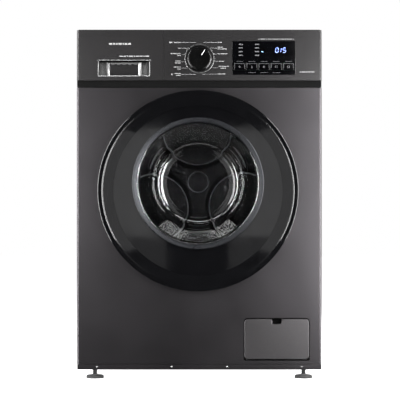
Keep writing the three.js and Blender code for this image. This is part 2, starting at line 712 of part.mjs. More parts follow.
function addControls(machine) {
  const controls = groupAt(machine, 0, 0, 0);
  add(controls, 'control_fascia', controlFascia(), fasciaPaint);
  add(controls, 'display_window', displayWindow(), glossBlack);
  add(controls, 'control_board', controlBoard(), boardGreen);
  for (let i = 0; i < KEY.count; i += 1) {
    add(groupAt(controls, keyCentre(i), 0, KEY.z), `key_${i + 1}`, keyCap(), glossBlack);
  }
  const knobAxis = groupAt(controls, KNOB_X, 0, KNOB_Z);
  add(knobAxis, 'knob_ring', knobRing(), chrome);
  add(knobAxis, 'programme_knob', programmeKnob(), glossBlack);
}

function addDrawer(machine) {
  const drawer = groupAt(machine, 0, 0, 0);
  add(drawer, 'drawer_front', drawerFront(), fasciaPaint);
  add(drawer, 'drawer_tray', drawerTray(), palePlastic);
  add(drawer, 'siphon_cap', siphonCap(), finish(0x3f74b8, 0.4, 0));
  add(drawer, 'dispenser_housing', dispenserHousing(), palePlastic);
}

function addDoor(machine) {
  const door = groupAt(machine, DOOR_X, 0, DOOR_Z);
  add(door, 'door_outer_ring', doorOuterRing(), glossBlack);
  add(door, 'door_cover', doorCover(), glossBlack);
  add(door, 'door_inner_frame', doorInnerFrame(), darkPlastic);
  add(door, 'door_hinge_arm', doorHingeArm(), castAlloy);
  add(door, 'door_latch_hook', doorLatchHook(), castAlloy);
  add(groupAt(door, 0, 0, GLASS_RISE), 'door_glass', doorGlass(), clearGlass);
  add(machine, 'door_hinge_bracket', doorHingeBracket(), castAlloy);
  add(machine, 'door_lock', doorLock(), palePlastic);
}

function addTub(machine) {
  const tub = groupAt(machine, AXIS_X, 0, AXIS_Z);
  add(tub, 'door_gasket', doorGasket(), greyRubber);
  add(tub, 'tub_front', tubFront(), greyPlastic);
  add(tub, 'tub_rear', tubRear(), greyPlastic);
  add(tub, 'counterweight', counterweight(), concrete);
  add(tub, 'drum', drum(), stainless);
  [0, 1, 2].forEach((i) => {
    const arm = groupAt(tub, 0, 0, 0);
    arm.rotation.y = i * 2 * Math.PI / 3;
    add(arm, `drum_lifter_${i + 1}`, drumLifter(), stainless);
  });
  add(tub, 'drum_spider', drumSpider(), castAlloy);
  add(tub, 'drum_pulley', drumPulley(), castAlloy);
  add(tub, 'drive_belt', driveBelt(), blackRubber);
  add(tub, 'motor_housing', motorHousing(), castAlloy);
  add(tub, 'motor_pulley', motorPulley(), zincSteel);
  add(tub, 'heater', heater(), stainless);
}

function addSuspension(machine) {
  ['left', 'right'].forEach((name, i) => {
    const side = 2 * i - 1;
    const springPlace = groupAt(machine, AXIS_X + side * SPRING_X, SPRING_Y, 0);
    add(springPlace, `spring_${name}`, suspensionSpring(), zincSteel);
    const damperPlace = groupAt(machine, AXIS_X + side * DAMPER_X, DAMPER_Y, 0);
    add(damperPlace, `damper_${name}`, damper(), greyPlastic);
  });
}

function addPump(machine) {
  const pump = groupAt(machine, 0, 0, 0);
  add(pump, 'filter_recess', filterRecess(), darkPlastic);
  add(pump, 'drain_pump', drainPump(), greyPlastic);
  add(pump, 'filter_cap', filterCap(), palePlastic);
  add(pump, 'filter_flap', filterFlap(), fasciaPaint);
}

const machine = new THREE.Group();
addCabinet(machine);
addControls(machine);
addDrawer(machine);
addDoor(machine);
addTub(machine);
addSuspension(machine);
addPump(machine);

export default machine;
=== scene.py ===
"""Looks for a slim front load washing machine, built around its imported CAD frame, in metres."""

import math

import bmesh
import bpy
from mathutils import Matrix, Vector


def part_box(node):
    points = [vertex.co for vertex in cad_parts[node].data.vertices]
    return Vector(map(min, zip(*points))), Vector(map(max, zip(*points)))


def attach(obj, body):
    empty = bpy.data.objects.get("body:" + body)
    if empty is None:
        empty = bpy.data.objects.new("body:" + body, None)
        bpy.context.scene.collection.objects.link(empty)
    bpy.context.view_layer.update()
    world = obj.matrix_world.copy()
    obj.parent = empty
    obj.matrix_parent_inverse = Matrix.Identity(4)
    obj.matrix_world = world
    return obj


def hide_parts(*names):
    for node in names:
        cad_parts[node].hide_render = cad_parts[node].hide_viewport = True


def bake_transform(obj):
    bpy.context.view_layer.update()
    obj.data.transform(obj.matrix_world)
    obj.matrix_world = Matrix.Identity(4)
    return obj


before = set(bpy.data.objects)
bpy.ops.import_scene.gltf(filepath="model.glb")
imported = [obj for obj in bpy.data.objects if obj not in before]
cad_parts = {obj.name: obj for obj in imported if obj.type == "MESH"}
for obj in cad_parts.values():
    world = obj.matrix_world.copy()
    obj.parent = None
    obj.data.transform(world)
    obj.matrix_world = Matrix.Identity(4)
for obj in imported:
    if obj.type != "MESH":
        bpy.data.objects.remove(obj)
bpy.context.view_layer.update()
MM = 0.001
TURN = 2 * math.pi


def centre_of(node):
    low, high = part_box(node)
    return (low + high) / 2


def axis_of(node):
    """Where the middle of a round node lies, in X and Z."""
    middle = centre_of(node)
    return middle.x, middle.z


def front_of(node):
    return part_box(node)[0].y


def fill(node, **values):
    """Sets the inputs of a shader node. A value that is another node's output is linked."""
    for name, value in values.items():
        socket = node.inputs[name.replace("_", " ")]
        if isinstance(value, bpy.types.NodeSocket):
            node.id_data.links.new(value, socket)
        else:
            socket.default_value = value
    return node


# ---------------- camera, light and floor

PICTURE_WIDTH = 0.972        # what the picture spans at the machine's front
CAMERA_DISTANCE = 6.5
SENSOR = 36.0
FRONT_Y = front_of("front_panel")
EYE_SIDE, EYE_HEIGHT = 0.0018, 0.4362
MACHINE_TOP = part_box("top_cover")[1].z


def make_camera():
    data = bpy.data.cameras.new("camera")
    data.sensor_width = SENSOR
    data.lens = SENSOR * CAMERA_DISTANCE / PICTURE_WIDTH
    data.clip_end = 60
    camera = bpy.data.objects.new("camera", data)
    bpy.context.scene.collection.objects.link(camera)
    camera.location = (EYE_SIDE, FRONT_Y - CAMERA_DISTANCE, EYE_HEIGHT)
    camera.rotation_euler = (math.pi / 2, 0, 0)
    bpy.context.scene.camera = camera


def soft_light(name, place, target, size, radiance):
    """A soft box of one even brightness: 1 is as bright as white paper in the picture."""
    data = bpy.data.lights.new(name, "AREA")
    data.shape = "RECTANGLE"
    data.size, data.size_y = size
    data.energy = radiance * math.pi * size[0] * size[1]
    light = bpy.data.objects.new(name, data)
    bpy.context.scene.collection.objects.link(light)
    light.location = place
    light.rotation_euler = (Vector(target) - Vector(place)).to_track_quat("-Z", "Y").to_euler()
    return light


DOORWAY = "lit_by_the_brow_light"


def make_lights():
    """Broad dim boxes beside the camera, a strong key on each side, and tall strips that draw the edges.

    The strips leave out the side sheets and the lid, and the high brow light is only for the glass bowl.
    """
    sides = bpy.data.collections.new("not_lit_by_the_edge_strips")
    for node in ("side_panel_left", "side_panel_right", "top_cover"):
        sides.objects.link(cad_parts[node])
    for member in sides.collection_objects:
        member.light_linking.link_state = "EXCLUDE"
    # The right key is the stronger one and reaches lower.
    for name, side, key, key_foot in (("right", 1, 34, 0.1), ("left", -1, 12, 0.21)):
        far, key_z = side * 0.97, (MACHINE_TOP + key_foot) / 2
        soft_light("wash_" + name, (far, -CAMERA_DISTANCE, 0.35), (far, 0, 0.35), (0.97, 1.7), 1.05)
        soft_light("haze_" + name, (far, -CAMERA_DISTANCE, 1.55), (far, 0, 1.55), (0.97, 0.7), 0.35)
        key_size = (0.25, MACHINE_TOP - key_foot)
        soft_light("key_" + name, (side * 0.6, -1.25, key_z), (side * 0.3, -0.2, key_z - 0.01), key_size, key)
        soft_light("wall_" + name, (side * 0.88, -2.6, 0.5), (side * 0.3, 0, 0.5), (0.65, 2.6), 0.7)
        strip = soft_light("edge_" + name, (side * 1.9, -1.0, 0.75), (side * 0.3, -0.25, 0.5), (0.6, 3.0), 36)
        strip.light_linking.receiver_collection = sides
        soft_light("side_" + name, (side * 3.6, 0.35, 0.9), (0, 0.1, 0.5), (2.6, 2.2), 1.5)
    brow = soft_light("brow", (0, -1.2, 1.5), (0, -0.13, 0.43), (1.7, 0.2), 11)
    brow.light_linking.receiver_collection = bpy.data.collections.new(DOORWAY)
    soft_light("overhead", (0, 0.2, 2.6), (0, 0.2, 0), (2.4, 1.6), 1.4)
    soft_light("behind", (0, 3.2, 1.4), (0, 0, 0.5), (3.0, 1.8), 2.0)


def make_world():
    """A white backdrop for the eye, and a dim studio for everything that lights or is mirrored."""
    world = bpy.data.worlds.new("studio")
    bpy.context.scene.world = world
    world.use_nodes = True
    nodes, links = world.node_tree.nodes, world.node_tree.links
    nodes.clear()
    rays = nodes.new("ShaderNodeLightPath")
    mix = fill(nodes.new("ShaderNodeMixShader"), Fac=rays.outputs["Is Camera Ray"])
    for slot, color, strength in ((1, (0.9, 0.92, 0.95, 1), 0.035), (2, (1, 1, 1, 1), 1.0)):
        background = fill(nodes.new("ShaderNodeBackground"), Color=color, Strength=strength)
        links.new(background.outputs[0], mix.inputs[slot])
    fill(nodes.new("ShaderNodeOutputWorld"), Surface=mix.outputs[0])
    bpy.context.scene.view_settings.view_transform = "Standard"


def make_floor():
    """A white floor that reaches far back. Shiny surfaces don't mirror it."""
    mesh = bpy.data.meshes.new("floor")
    reach, near = 14, -0.95
    corners = [(-reach, near, 0), (reach, near, 0), (reach, reach, 0), (-reach, reach, 0)]
    mesh.from_pydata(corners, [], [(0, 1, 2, 3)])
    floor = bpy.data.objects.new("floor", mesh)
    bpy.context.scene.collection.objects.link(floor)
    paint = bpy.data.materials.new("floor_white")
    paint.use_nodes = True
    fill(paint.node_tree.nodes["Principled BSDF"], Base_Color=(0.92, 0.92, 0.92, 1), Roughness=0.9,
         Emission_Color=(1, 1, 1, 1), Emission_Strength=1.0)
    mesh.materials.append(paint)
    floor.visible_glossy = False


make_camera()
make_lights()
make_world()
make_floor()


# ---------------- materials

class Shader:
    """A node material with fine grain, uneven gloss and a soft bump."""

    def __init__(self, name, color, roughness, metallic=0.0):
        self.material = bpy.data.materials.new(name)
        self.material.use_nodes = True
        self.tree = self.material.node_tree
        self.main = self.tree.nodes["Principled BSDF"]
        self.color, self.roughness = color, roughness
        fill(self.main, Base_Color=(*color, 1), Roughness=roughness, Metallic=metallic)
        self.place = self.node("ShaderNodeTexCoord").outputs["Object"]

    def node(self, kind, **values):
        return fill(self.tree.nodes.new(kind), **values)

    def noise(self, scale, detail, stretch=None):
        """Noise over the object's own coordinates; stretch squeezes it along an axis, for brushed metal."""
        place = self.place
        if stretch:
            place = self.node("ShaderNodeMapping", Scale=stretch, Vector=place).outputs["Vector"]
        return self.node("ShaderNodeTexNoise", Scale=scale, Detail=detail, Vector=place).outputs["Fac"]

    def ramp(self, source, low, high, start, end):
        ramp = self.node("ShaderNodeMapRange", Value=source, From_Min=start, From_Max=end, To_Min=low,
                         To_Max=high)
        return ramp.outputs["Result"]

    def vary_color(self, source, amount, start=0.35, end=0.65):
        mix = self.node("ShaderNodeMix")
        mix.data_type = "RGBA"
        darker = (*[c * (1 - amount) for c in self.color], 1)
        lighter = (*[min(1, c * (1 + amount)) for c in self.color], 1)
        fill(mix, A=darker, B=lighter, Factor=self.ramp(source, 0, 1, start, end))
        fill(self.main, Base_Color=mix.outputs["Result"])

    def vary_roughness(self, source, amount, start=0.35, end=0.65):
        low, high = self.roughness * (1 - amount), min(1, self.roughness * (1 + amount))
        fill(self.main, Roughness=self.ramp(source, low, high, start, end))

    def bump(self, source, strength, distance):
        bump = self.node("ShaderNodeBump", Height=source, Strength=strength, Distance=distance)
        fill(self.main, Normal=bump.outputs["Normal"])


def satin_paint(name, color, roughness, metallic=1.0):
    """Metallic charcoal paint: tiny flakes, faint orange peel and slightly uneven gloss."""
    s = Shader(name, color, roughness, metallic)
    s.vary_color(s.noise(1400, 2), 0.22)
    s.vary_roughness(s.noise(9, 5), 0.07)
    s.bump(s.noise(420, 3), 0.05, 0.0004)
    fill(s.main, Coat_Weight=0.12, Coat_Roughness=0.28)
    return s.material


def gloss_plastic(name, color, roughness):
    """Polished plastic with faint ripples, dust haze and light scuffs."""
    s = Shader(name, color, roughness)
    s.vary_color(s.noise(40, 4), 0.15)
    s.vary_roughness(s.noise(28, 6), 0.35)
    s.bump(s.noise(60, 2), 0.015, 0.0005)
    fill(s.main, Specular_IOR_Level=0.55)
    return s.material


def moulded_plastic(name, color, roughness, grain=900, depth=0.12, shine=0.5):
    """Plastic with the fine spark-eroded grain of a mould."""
    s = Shader(name, color, roughness)
    fill(s.main, Specular_IOR_Level=shine)
    s.vary_color(s.noise(14, 5), 0.05)
    s.vary_roughness(s.noise(30, 4), 0.12)
    s.bump(s.noise(grain, 3), depth, 0.0003)
    return s.material


def rubber(name, color, roughness):
    """Matte rubber with a powdery grain."""
    s = Shader(name, color, roughness)
    s.vary_color(s.noise(18, 6), 0.12)
    s.vary_roughness(s.noise(50, 4), 0.1)
    s.bump(s.noise(700, 4), 0.18, 0.0004)
    fill(s.main, Sheen_Weight=0.15)
    return s.material


def brushed_metal(name, color, roughness, stretch, metallic=1.0):
    """Metal with grinding lines along one axis."""
    s = Shader(name, color, roughness, metallic)
    lines = s.noise(160, 6, stretch)
    s.vary_color(lines, 0.08)
    s.vary_roughness(lines, 0.3)
    s.bump(lines, 0.03, 0.00002)
    fill(s.main, Anisotropic=0.35)
    return s.material


def zinc_sheet(name, color):
    """Galvanised sheet: spangle cells that differ a little in tone and gloss."""
    s = Shader(name, color, 0.42, 0.85)
    cells = s.node("ShaderNodeTexVoronoi", Scale=110, Vector=s.place)
    split = s.node("ShaderNodeSeparateColor", Color=cells.outputs["Color"])
    s.vary_color(split.outputs["Red"], 0.14, 0, 1)
    s.vary_roughness(split.outputs["Green"], 0.25, 0, 1)
    s.bump(s.noise(300, 3), 0.04, 0.0003)
    return s.material


def polished_chrome(name, color, roughness):
    """Plated metal with a faint haze."""
    s = Shader(name, color, roughness, 1.0)
    s.vary_color(s.noise(90, 3), 0.03)
    s.vary_roughness(s.noise(60, 5), 0.4)
    return s.material


def cast_concrete(name):
    """Rough pitted concrete of uneven grey."""
    s = Shader(name, (0.28, 0.27, 0.25), 0.92)
    s.vary_color(s.noise(35, 8), 0.3)
    s.vary_roughness(s.noise(80, 5), 0.06)
    s.bump(s.noise(120, 8), 0.5, 0.002)
    return s.material


def door_glass_material(name):
    """Thick glass, tinted grey to paint shade over the drum behind it. Shadow rays pass straight through it,
    dimmed to a tenth, a painted shade that leaves the drum only faintly lit.
    """
    # The grey tint paints shade over the drum seen through the glass.
    s = Shader(name, (0.52, 0.525, 0.53), 0.012)
    fill(s.main, Transmission_Weight=1.0, IOR=1.5)
    s.vary_roughness(s.noise(24, 5), 0.6)
    s.bump(s.noise(7, 2), 0.02, 0.002)
    rays = s.node("ShaderNodeLightPath")
    # Shadow rays pass through a dark tint, a painted shade inside the drum.
    clear = s.node("ShaderNodeBsdfTransparent", Color=(0.1, 0.1, 0.102, 1))
    mix = s.node("ShaderNodeMixShader", Fac=rays.outputs["Is Shadow Ray"])
    s.tree.links.new(s.main.outputs[0], mix.inputs[1])
    s.tree.links.new(clear.outputs[0], mix.inputs[2])
    fill(s.tree.nodes["Material Output"], Surface=mix.outputs[0])
    return s.material


def glowing(name, color, strength):
    """A lit display segment, a little uneven over its face."""
    s = Shader(name, color, 0.4)
    s.vary_color(s.noise(500, 2), 0.08)
    fill(s.main, Emission_Color=(*color, 1), Emission_Strength=strength)
    return s.material


def grey(tone):
    return (tone, tone, tone)


def palette(maker, looks):
    """Materials of one kind, by name. Each look starts with a colour."""
    return {name: maker(name, *look) for name, look in looks.items()}


MATERIALS = {
    **palette(satin_paint, {
        "charcoal_paint": ((0.037, 0.0345, 0.037), 0.30),
        "fascia_paint": ((0.0180, 0.0172, 0.0177), 0.34, 0.8),
        "side_paint": ((0.05, 0.047, 0.05), 0.34, 0.35),
        "flap_paint": ((0.064, 0.061, 0.063), 0.32),
    }),
    **palette(gloss_plastic, {
        "gloss_black": ((0.0012, 0.0012, 0.0014), 0.05),
        "cover_black": ((0.001, 0.001, 0.0012), 0.07),
        "window_black": ((0.0005, 0.0005, 0.0007), 0.05),
        "knob_black": (grey(0.0012), 0.08),
        "blue_plastic": ((0.04, 0.16, 0.5), 0.3),
    }),
    **palette(moulded_plastic, {
        "dark_plastic": (grey(0.0015), 0.6, 900, 0.12, 0.06),
        "handle_liner": (grey(0.0045), 0.5, 1200, 0.05, 0.2),
        "lid_board": ((0.036, 0.035, 0.036), 0.5, 500, 0.15),
        "lip_grey": (grey(0.04), 0.4),
        "pointer_white": (grey(0.6), 0.5, 1500, 0.03),
        "print_white": (grey(0.16), 0.6, 1500, 0.03),
        "print_grey": ((0.17, 0.17, 0.172), 0.6, 1500, 0.03),
        "print_dim": ((0.05, 0.05, 0.053), 0.5, 1500, 0.03),
        "key_edge": ((0.03, 0.031, 0.033), 0.35, 1500, 0.03),
        "pale_plastic": ((0.72, 0.73, 0.74), 0.4),
        "grey_plastic": ((0.27, 0.28, 0.29), 0.55),
        "circuit_board": ((0.02, 0.09, 0.045), 0.35, 600, 0.1),
    }),
    **palette(rubber, {
        "grey_rubber": ((0.13, 0.135, 0.14), 0.75),
        "black_rubber": (grey(0.014), 0.8),
    }),
    **palette(brushed_metal, {
        "rim_grey": ((0.0115, 0.0122, 0.0142), 0.34, (1, 12, 1), 0.7),
        # The drum, its wall and its paddles are one stainless steel, darkened in copies to paint the shade
        # inside the drum.
        "drum_steel": ((0.06, 0.06, 0.062), 0.2, (1, 0.08, 1)),
        "rib_steel": ((0.8, 0.8, 0.81), 0.42, (1, 1, 1)),
        "wall_steel": ((0.12, 0.12, 0.123), 0.26, (1, 0.08, 1)),
        "paddle_steel": ((0.25, 0.25, 0.255), 0.16, (1, 0.08, 1)),
        "cast_alloy": ((0.42, 0.43, 0.44), 0.4, (1, 1, 1)),
    }),
    **palette(polished_chrome, {
        "dull_steel": (grey(0.3), 0.45),
        "heater_steel": ((0.5, 0.49, 0.47), 0.3),
        "ring_chrome": (grey(0.2), 0.34),
        "handle_chrome": (grey(0.42), 0.6),
        "screw_steel": (grey(0.66), 0.25),
    }),
    **palette(glowing, {
        "digit_blue": ((0.26, 0.36, 1.0), 0.85),
        "led_white": ((0.3, 0.6, 1.0), 0.7),
    }),
    "zinc_sheet": zinc_sheet("zinc_sheet", (0.46, 0.47, 0.48)),
    "concrete": cast_concrete("concrete"),
    "door_glass_shade_tint": door_glass_material("door_glass_shade_tint"),
}


# ---------------- mesh helpers

def new_object(name, vertices, faces, material, body, stands_for=(), smooth=True):
    """A mesh piece, with its faces turned outwards, that rides on one body of the frame."""
    mesh = bpy.data.meshes.new(name)
    mesh.from_pydata([tuple(v) for v in vertices], [], faces)
    work = bmesh.new()
    work.from_mesh(mesh)
    bmesh.ops.remove_doubles(work, verts=work.verts, dist=1e-7)
    bmesh.ops.recalc_face_normals(work, faces=work.faces)
    work.to_mesh(mesh)
    work.free()
    mesh.materials.append(MATERIALS[material])
    piece = bpy.data.objects.new(name, mesh)
    bpy.context.scene.collection.objects.link(piece)
    if smooth:
        mesh.shade_smooth()
    if body:
        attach(piece, body)
    if stands_for:
        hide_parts(*stands_for)
    return piece


def even_out(piece):
    """Lets the larger faces set the shading along each edge."""
    even = piece.modifiers.new("even", "WEIGHTED_NORMAL")
    even.weight = 100


def soften(piece, width):
    """Rounds a piece's sharp edges, in millimetres, and keeps its flat faces flat."""
    weld = piece.modifiers.new("weld", "WELD")
    weld.merge_threshold = 1e-5
    bevel = piece.modifiers.new("bevel", "BEVEL")
    bevel.width = width * MM
    bevel.segments = 2
    bevel.limit_method = "ANGLE"
    bevel.angle_limit = math.radians(30)
    bevel.use_clamp_overlap = True
    even_out(piece)
    piece.data.shade_smooth()


def sharpen(piece, angle=35):
    """Smooth shading that breaks at edges sharper than the angle."""
    limit = math.radians(angle)
    work = bmesh.new()
    work.from_mesh(piece.data)
    for edge in work.edges:
        if len(edge.link_faces) == 2:
            edge.smooth = edge.calc_face_angle(0) < limit
    work.to_mesh(piece.data)
    work.free()


def keep(node, material, width):
    """Shows a CAD node with a material and softened edges."""
    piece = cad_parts[node]
    piece.data.materials.clear()
    piece.data.materials.append(MATERIALS[material])
    soften(piece, width)


def circle(radius, count, x=0.0, y=0.0):
    """Points round a centre, in 2-D. The radius is a length, or a function of the angle."""
    points = []
    for i in range(count):
        turn = TURN * i / count
        reach = radius(turn) if callable(radius) else radius
        points.append((x + reach * math.cos(turn), y + reach * math.sin(turn)))
    return points


def ribbed(radius, depth, ribs):
    """The radius of a rim with shallow ribs, for circle. Its sizes are in millimetres."""
    return lambda turn: (radius - depth * (0.5 + 0.5 * math.cos(ribs * turn))) * MM


def ring_points(radius, y, count, centre):
    """A circle that faces the front."""
    return [(x, y, z) for x, z in circle(radius, count, *centre)]


def skin(rings, closed_loop=True):
    """Points and faces between rings of equal length; a ring of one point closes to a tip."""
    vertices, starts = [], []
    for ring in rings:
        starts.append(len(vertices))
        vertices.extend(ring)
    faces = []
    pairs = list(zip(range(len(rings)), range(1, len(rings))))
    if closed_loop:
        pairs.append((len(rings) - 1, 0))
    for a, b in pairs:
        count = max(len(rings[a]), len(rings[b]))
        for i in range(count):
            j = (i + 1) % count
            corners = []
            for ring, k in ((a, i), (a, j), (b, j), (b, i)):
                corner = starts[ring] + (k if len(rings[ring]) > 1 else 0)
                if corner not in corners:
                    corners.append(corner)
            if len(corners) > 2:
                faces.append(corners)
    return vertices, faces


def capped_skin(rings):
    """A skin through the rings, closed by one flat face at each end."""
    vertices, faces = skin(rings, closed_loop=False)
    count = len(rings[0])
    faces += [list(range(count)), list(range(len(vertices) - count, len(vertices)))]
    return vertices, faces


def add_shape(vertices, faces, more_vertices, more_faces):
    """Adds one more shape to a growing mesh."""
    start = len(vertices)
    vertices.extend(more_vertices)
    faces.extend([start + k for k in face] for face in more_faces)


def behind(plane, points):
    """A profile of (radius, depth behind a plane) in millimetres, as metres in the frame."""
    return [(radius * MM, plane + depth * MM) for radius, depth in points]


def turned(name, profile, material, body, centre, stands_for=(), segments=192, angle=35):
    """A lathe piece about an axis along Y, of (radius, y) points that start on the axis or go all round."""
    rings = []
    for radius, y in profile:
        on_axis = radius < 1e-6
        rings.append([(centre[0], y, centre[1])] if on_axis else ring_points(radius, y, segments, centre))
    vertices, faces = skin(rings, closed_loop=len(rings[0]) > 1)
    piece = new_object(name, vertices, faces, material, body, stands_for)
    sharpen(piece, angle)
    return piece


def fillet(points, radius, steps=5):
    """Rounds the inner corners of an open line of 2-D points."""
    rounded = [points[0]]
    for before, corner, after in zip(points, points[1:], points[2:]):
        b, c, a = Vector(before), Vector(corner), Vector(after)
        reach = min(radius, (b - c).length * 0.45, (a - c).length * 0.45)
        start, end = c + (b - c).normalized() * reach, c + (a - c).normalized() * reach
        for i in range(steps + 1):
            t = i / steps
            rounded.append(tuple((1 - t) ** 2 * start + 2 * t * (1 - t) * c + t ** 2 * end))
    rounded.append(points[-1])
    return rounded


def slab(name, outline, front, back, material, body):
    """A flat piece that faces the front, of an outline in X and Z."""
    loops = [[(x, y, z) for x, z in outline] for y in (front, back)]
    sharpen(new_object(name, *capped_skin(loops), material, body))


BLOCK_FACES = ((0, 1, 3, 2), (4, 6, 7, 5), (0, 4, 5, 1), (2, 3, 7, 6), (0, 2, 6, 4), (1, 5, 7, 3))


def blocks(name, boxes, material, body):
    """Many small blocks as one piece. Each is (x0, x1, z0, z1, front y, depth) in metres."""
    vertices, faces = [], []
    for x0, x1, z0, z1, y, depth in boxes:
        corners = [(x, side, z) for x in (x0, x1) for side in (y, y + depth) for z in (z0, z1)]
        add_shape(vertices, faces, corners, BLOCK_FACES)
    return new_object(name, vertices, faces, material, body, (), False)


# ---------------- door

DOOR = axis_of("door_outer_ring")
GLASS = axis_of("door_glass")
RING_FRONT = front_of("door_outer_ring")
GLASS_FRONT = front_of("door_glass")
COVER_RADIUS = 205.4 * MM
WINDOW_RADIUS = 160.2 * MM
DISH_RADIUS = 1.5          # the black cover is part of a very shallow bowl
COVER_EDGE_Y = RING_FRONT + 8.3 * MM
HINGE_GAP = 4 * MM         # left free above and below the hinge bracket


def cover_depth(x, z):
    """How far back the dished cover lies at a point of the door."""
    far = math.hypot(x - DOOR[0], z - DOOR[1])
    return COVER_EDGE_Y + (COVER_RADIUS ** 2 - far ** 2) / (2 * DISH_RADIUS)


def make_outer_ring():
    """The moulded black ring: a crisp ridge, a smooth slope into the cover and a rounded outer flank."""
    face = [(205.6, 14), (205.6, 6.6), (206.4, 6.43), (229.9, 1.52), (230.7, 1.35), (231.5, 0.75), (232, 0.6),
            (232.5, 0.9), (233.1, 1.3), (234, 1.57), (242, 4), (242.8, 4.25), (243.6, 5.2)]
    flank = fillet([(243.8, 7.5), (243.8, 25.5), (240.5, 27.3), (238.5, 27.3), (238.5, 11.5), (233, 7),
                    (208.5, 11.9), (208.5, 14)], 1.6)
    piece = turned("door_ring_visual", behind(RING_FRONT, face + flank), "gloss_black", "door", DOOR,
                   ["door_outer_ring"], 256, 60)
    low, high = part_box("door_hinge_bracket")
    for vertex in piece.data.vertices:
        if vertex.co.x < DOOR[0] and low.z - HINGE_GAP < vertex.co.z < high.z + HINGE_GAP:
            vertex.co.y = min(vertex.co.y, RING_FRONT + 9.5 * MM)


def make_cover():
    """The dished black cover with its off-centre window."""
    steps, count, thickness = 12, 256, 2.2 * MM
    front, back = [], []
    for k in range(steps + 1):
        t = k / steps
        rim = (1 - t) * COVER_RADIUS + t * WINDOW_RADIUS
        centre = [a + (b - a) * t for a, b in zip(DOOR, GLASS)]
        flat = circle(rim, count, *centre)
        front.append([(x, cover_depth(x, z), z) for x, z in flat])
        back.append([(x, cover_depth(x, z) + thickness, z) for x, z in flat])
    vertices, faces = skin(front + back[::-1])
    sharpen(new_object("door_cover_visual", vertices, faces, "cover_black", "door", ["door_cover"]), 50)


def make_window_rim():
    """The grey band seen through the flange of the glass, and the thin dark lip round it."""
    band = fillet([(160, 2.7), (160, -1.7), (158, -2.7), (148.5, 0.1), (147.2, 5.7)], 1.2)
    band += [(150.5, 5.7), (157.2, 2.7)]
    turned("window_rim", behind(GLASS_FRONT, band), "rim_grey", "door", GLASS, (), 256, 60)


def make_glass():
    """The pressed glass bowl: a smooth outer skin, a thick base and rounded bends."""
    outer = [(0, 107.5), (84, 107.5), (104, 102.7), (118, 73.7), (145.5, 7.7), (149, 4.1), (156.5, 4.1)]
    inner = [(156.5, 1.1), (146.5, 1.1), (142.2, 7.7), (114.5, 71.7), (99.5, 97.2), (82, 102.5), (0, 102.5)]
    profile = behind(GLASS_FRONT, fillet(outer, 9) + fillet(inner, 9))
    bowl = turned("glass_bowl", profile, "door_glass_shade_tint", "door", GLASS, ["door_glass"], 192, 40)
    bpy.data.collections[DOORWAY].objects.link(bowl)


make_outer_ring()
make_cover()
make_window_rim()
make_glass()


# ---------------- drum and gasket

DRUM = axis_of("drum_pulley")
DRUM_FRONT, DRUM_BACK = (corner.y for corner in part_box("drum"))
INNER, OUTER = 233.9, 234.9          # radii of the two skins of the drum's sheet, in millimetres
WALL_START = DRUM_FRONT + 15 * MM    # the perforated stretch
WALL_END = DRUM_FRONT + 267 * MM
HOLE_COLUMNS = 132
HOLE_ROWS = 20
HOLE_RADIUS = 2.4 * MM
HOLE_SIDES = 8
LOBE_TURNS = [math.radians(angle) for angle in (91, 211, 331)]
LOBES = [(130 * MM * math.cos(turn), 130 * MM * math.sin(turn)) for turn in LOBE_TURNS]
LOBE_RADIUS = 92 * MM
LOBE_DEPTH = 7 * MM


def drum_wall(radius):
    """One skin of the perforated wall: points, faces, the first point of each hole, and both end rings."""
    columns, rows = HOLE_COLUMNS, HOLE_ROWS
    step_turn, step_y = TURN / columns, (WALL_END - WALL_START) / rows

    def at(column, row):
        turn = column * step_turn
        return DRUM[0] + radius * math.cos(turn), WALL_START + row * step_y, DRUM[1] + radius * math.sin(turn)

    grid = {}
    vertices, faces, rims = [], [], []
    for j in range(2 * rows + 1):
        for i in range(2 * columns):
            if i % 2 == 0 or j % 2 == 0:
                grid[i, j] = len(vertices)
                vertices.append(at(i / 2, j / 2))
    around = [(2, 1), (2, 2), (1, 2), (0, 2), (0, 1), (0, 0), (1, 0), (2, 0)]
    for j in range(rows):
        for i in range(columns):
            edge = [grid[(2 * i + a) % (2 * columns), 2 * j + b] for a, b in around]
            start = len(vertices)
            for across, along in circle(HOLE_RADIUS, HOLE_SIDES):
                vertices.append(at(i + 0.5 + across / radius / step_turn, j + 0.5 + along / step_y))
            rims.append(start)
            for k in range(HOLE_SIDES):
                n = (k + 1) % HOLE_SIDES
                faces.append((edge[k], edge[n], start + n, start + k))
    ends = [[grid[i, j] for i in range(2 * columns)] for j in (0, 2 * rows)]
    return vertices, faces, rims, ends


def pressed(x, z):
    """Depth of the three round lobes at a point of the back wall, from 0 to 1."""
    depth = 0.0
    for lobe_x, lobe_z in LOBES:
        far = math.hypot(x - lobe_x, z - lobe_z) / LOBE_RADIUS
        t = min(1.0, max(0.0, (1.06 - far) / 0.12))
        depth = max(depth, t * t * (3 - 2 * t))
    return depth


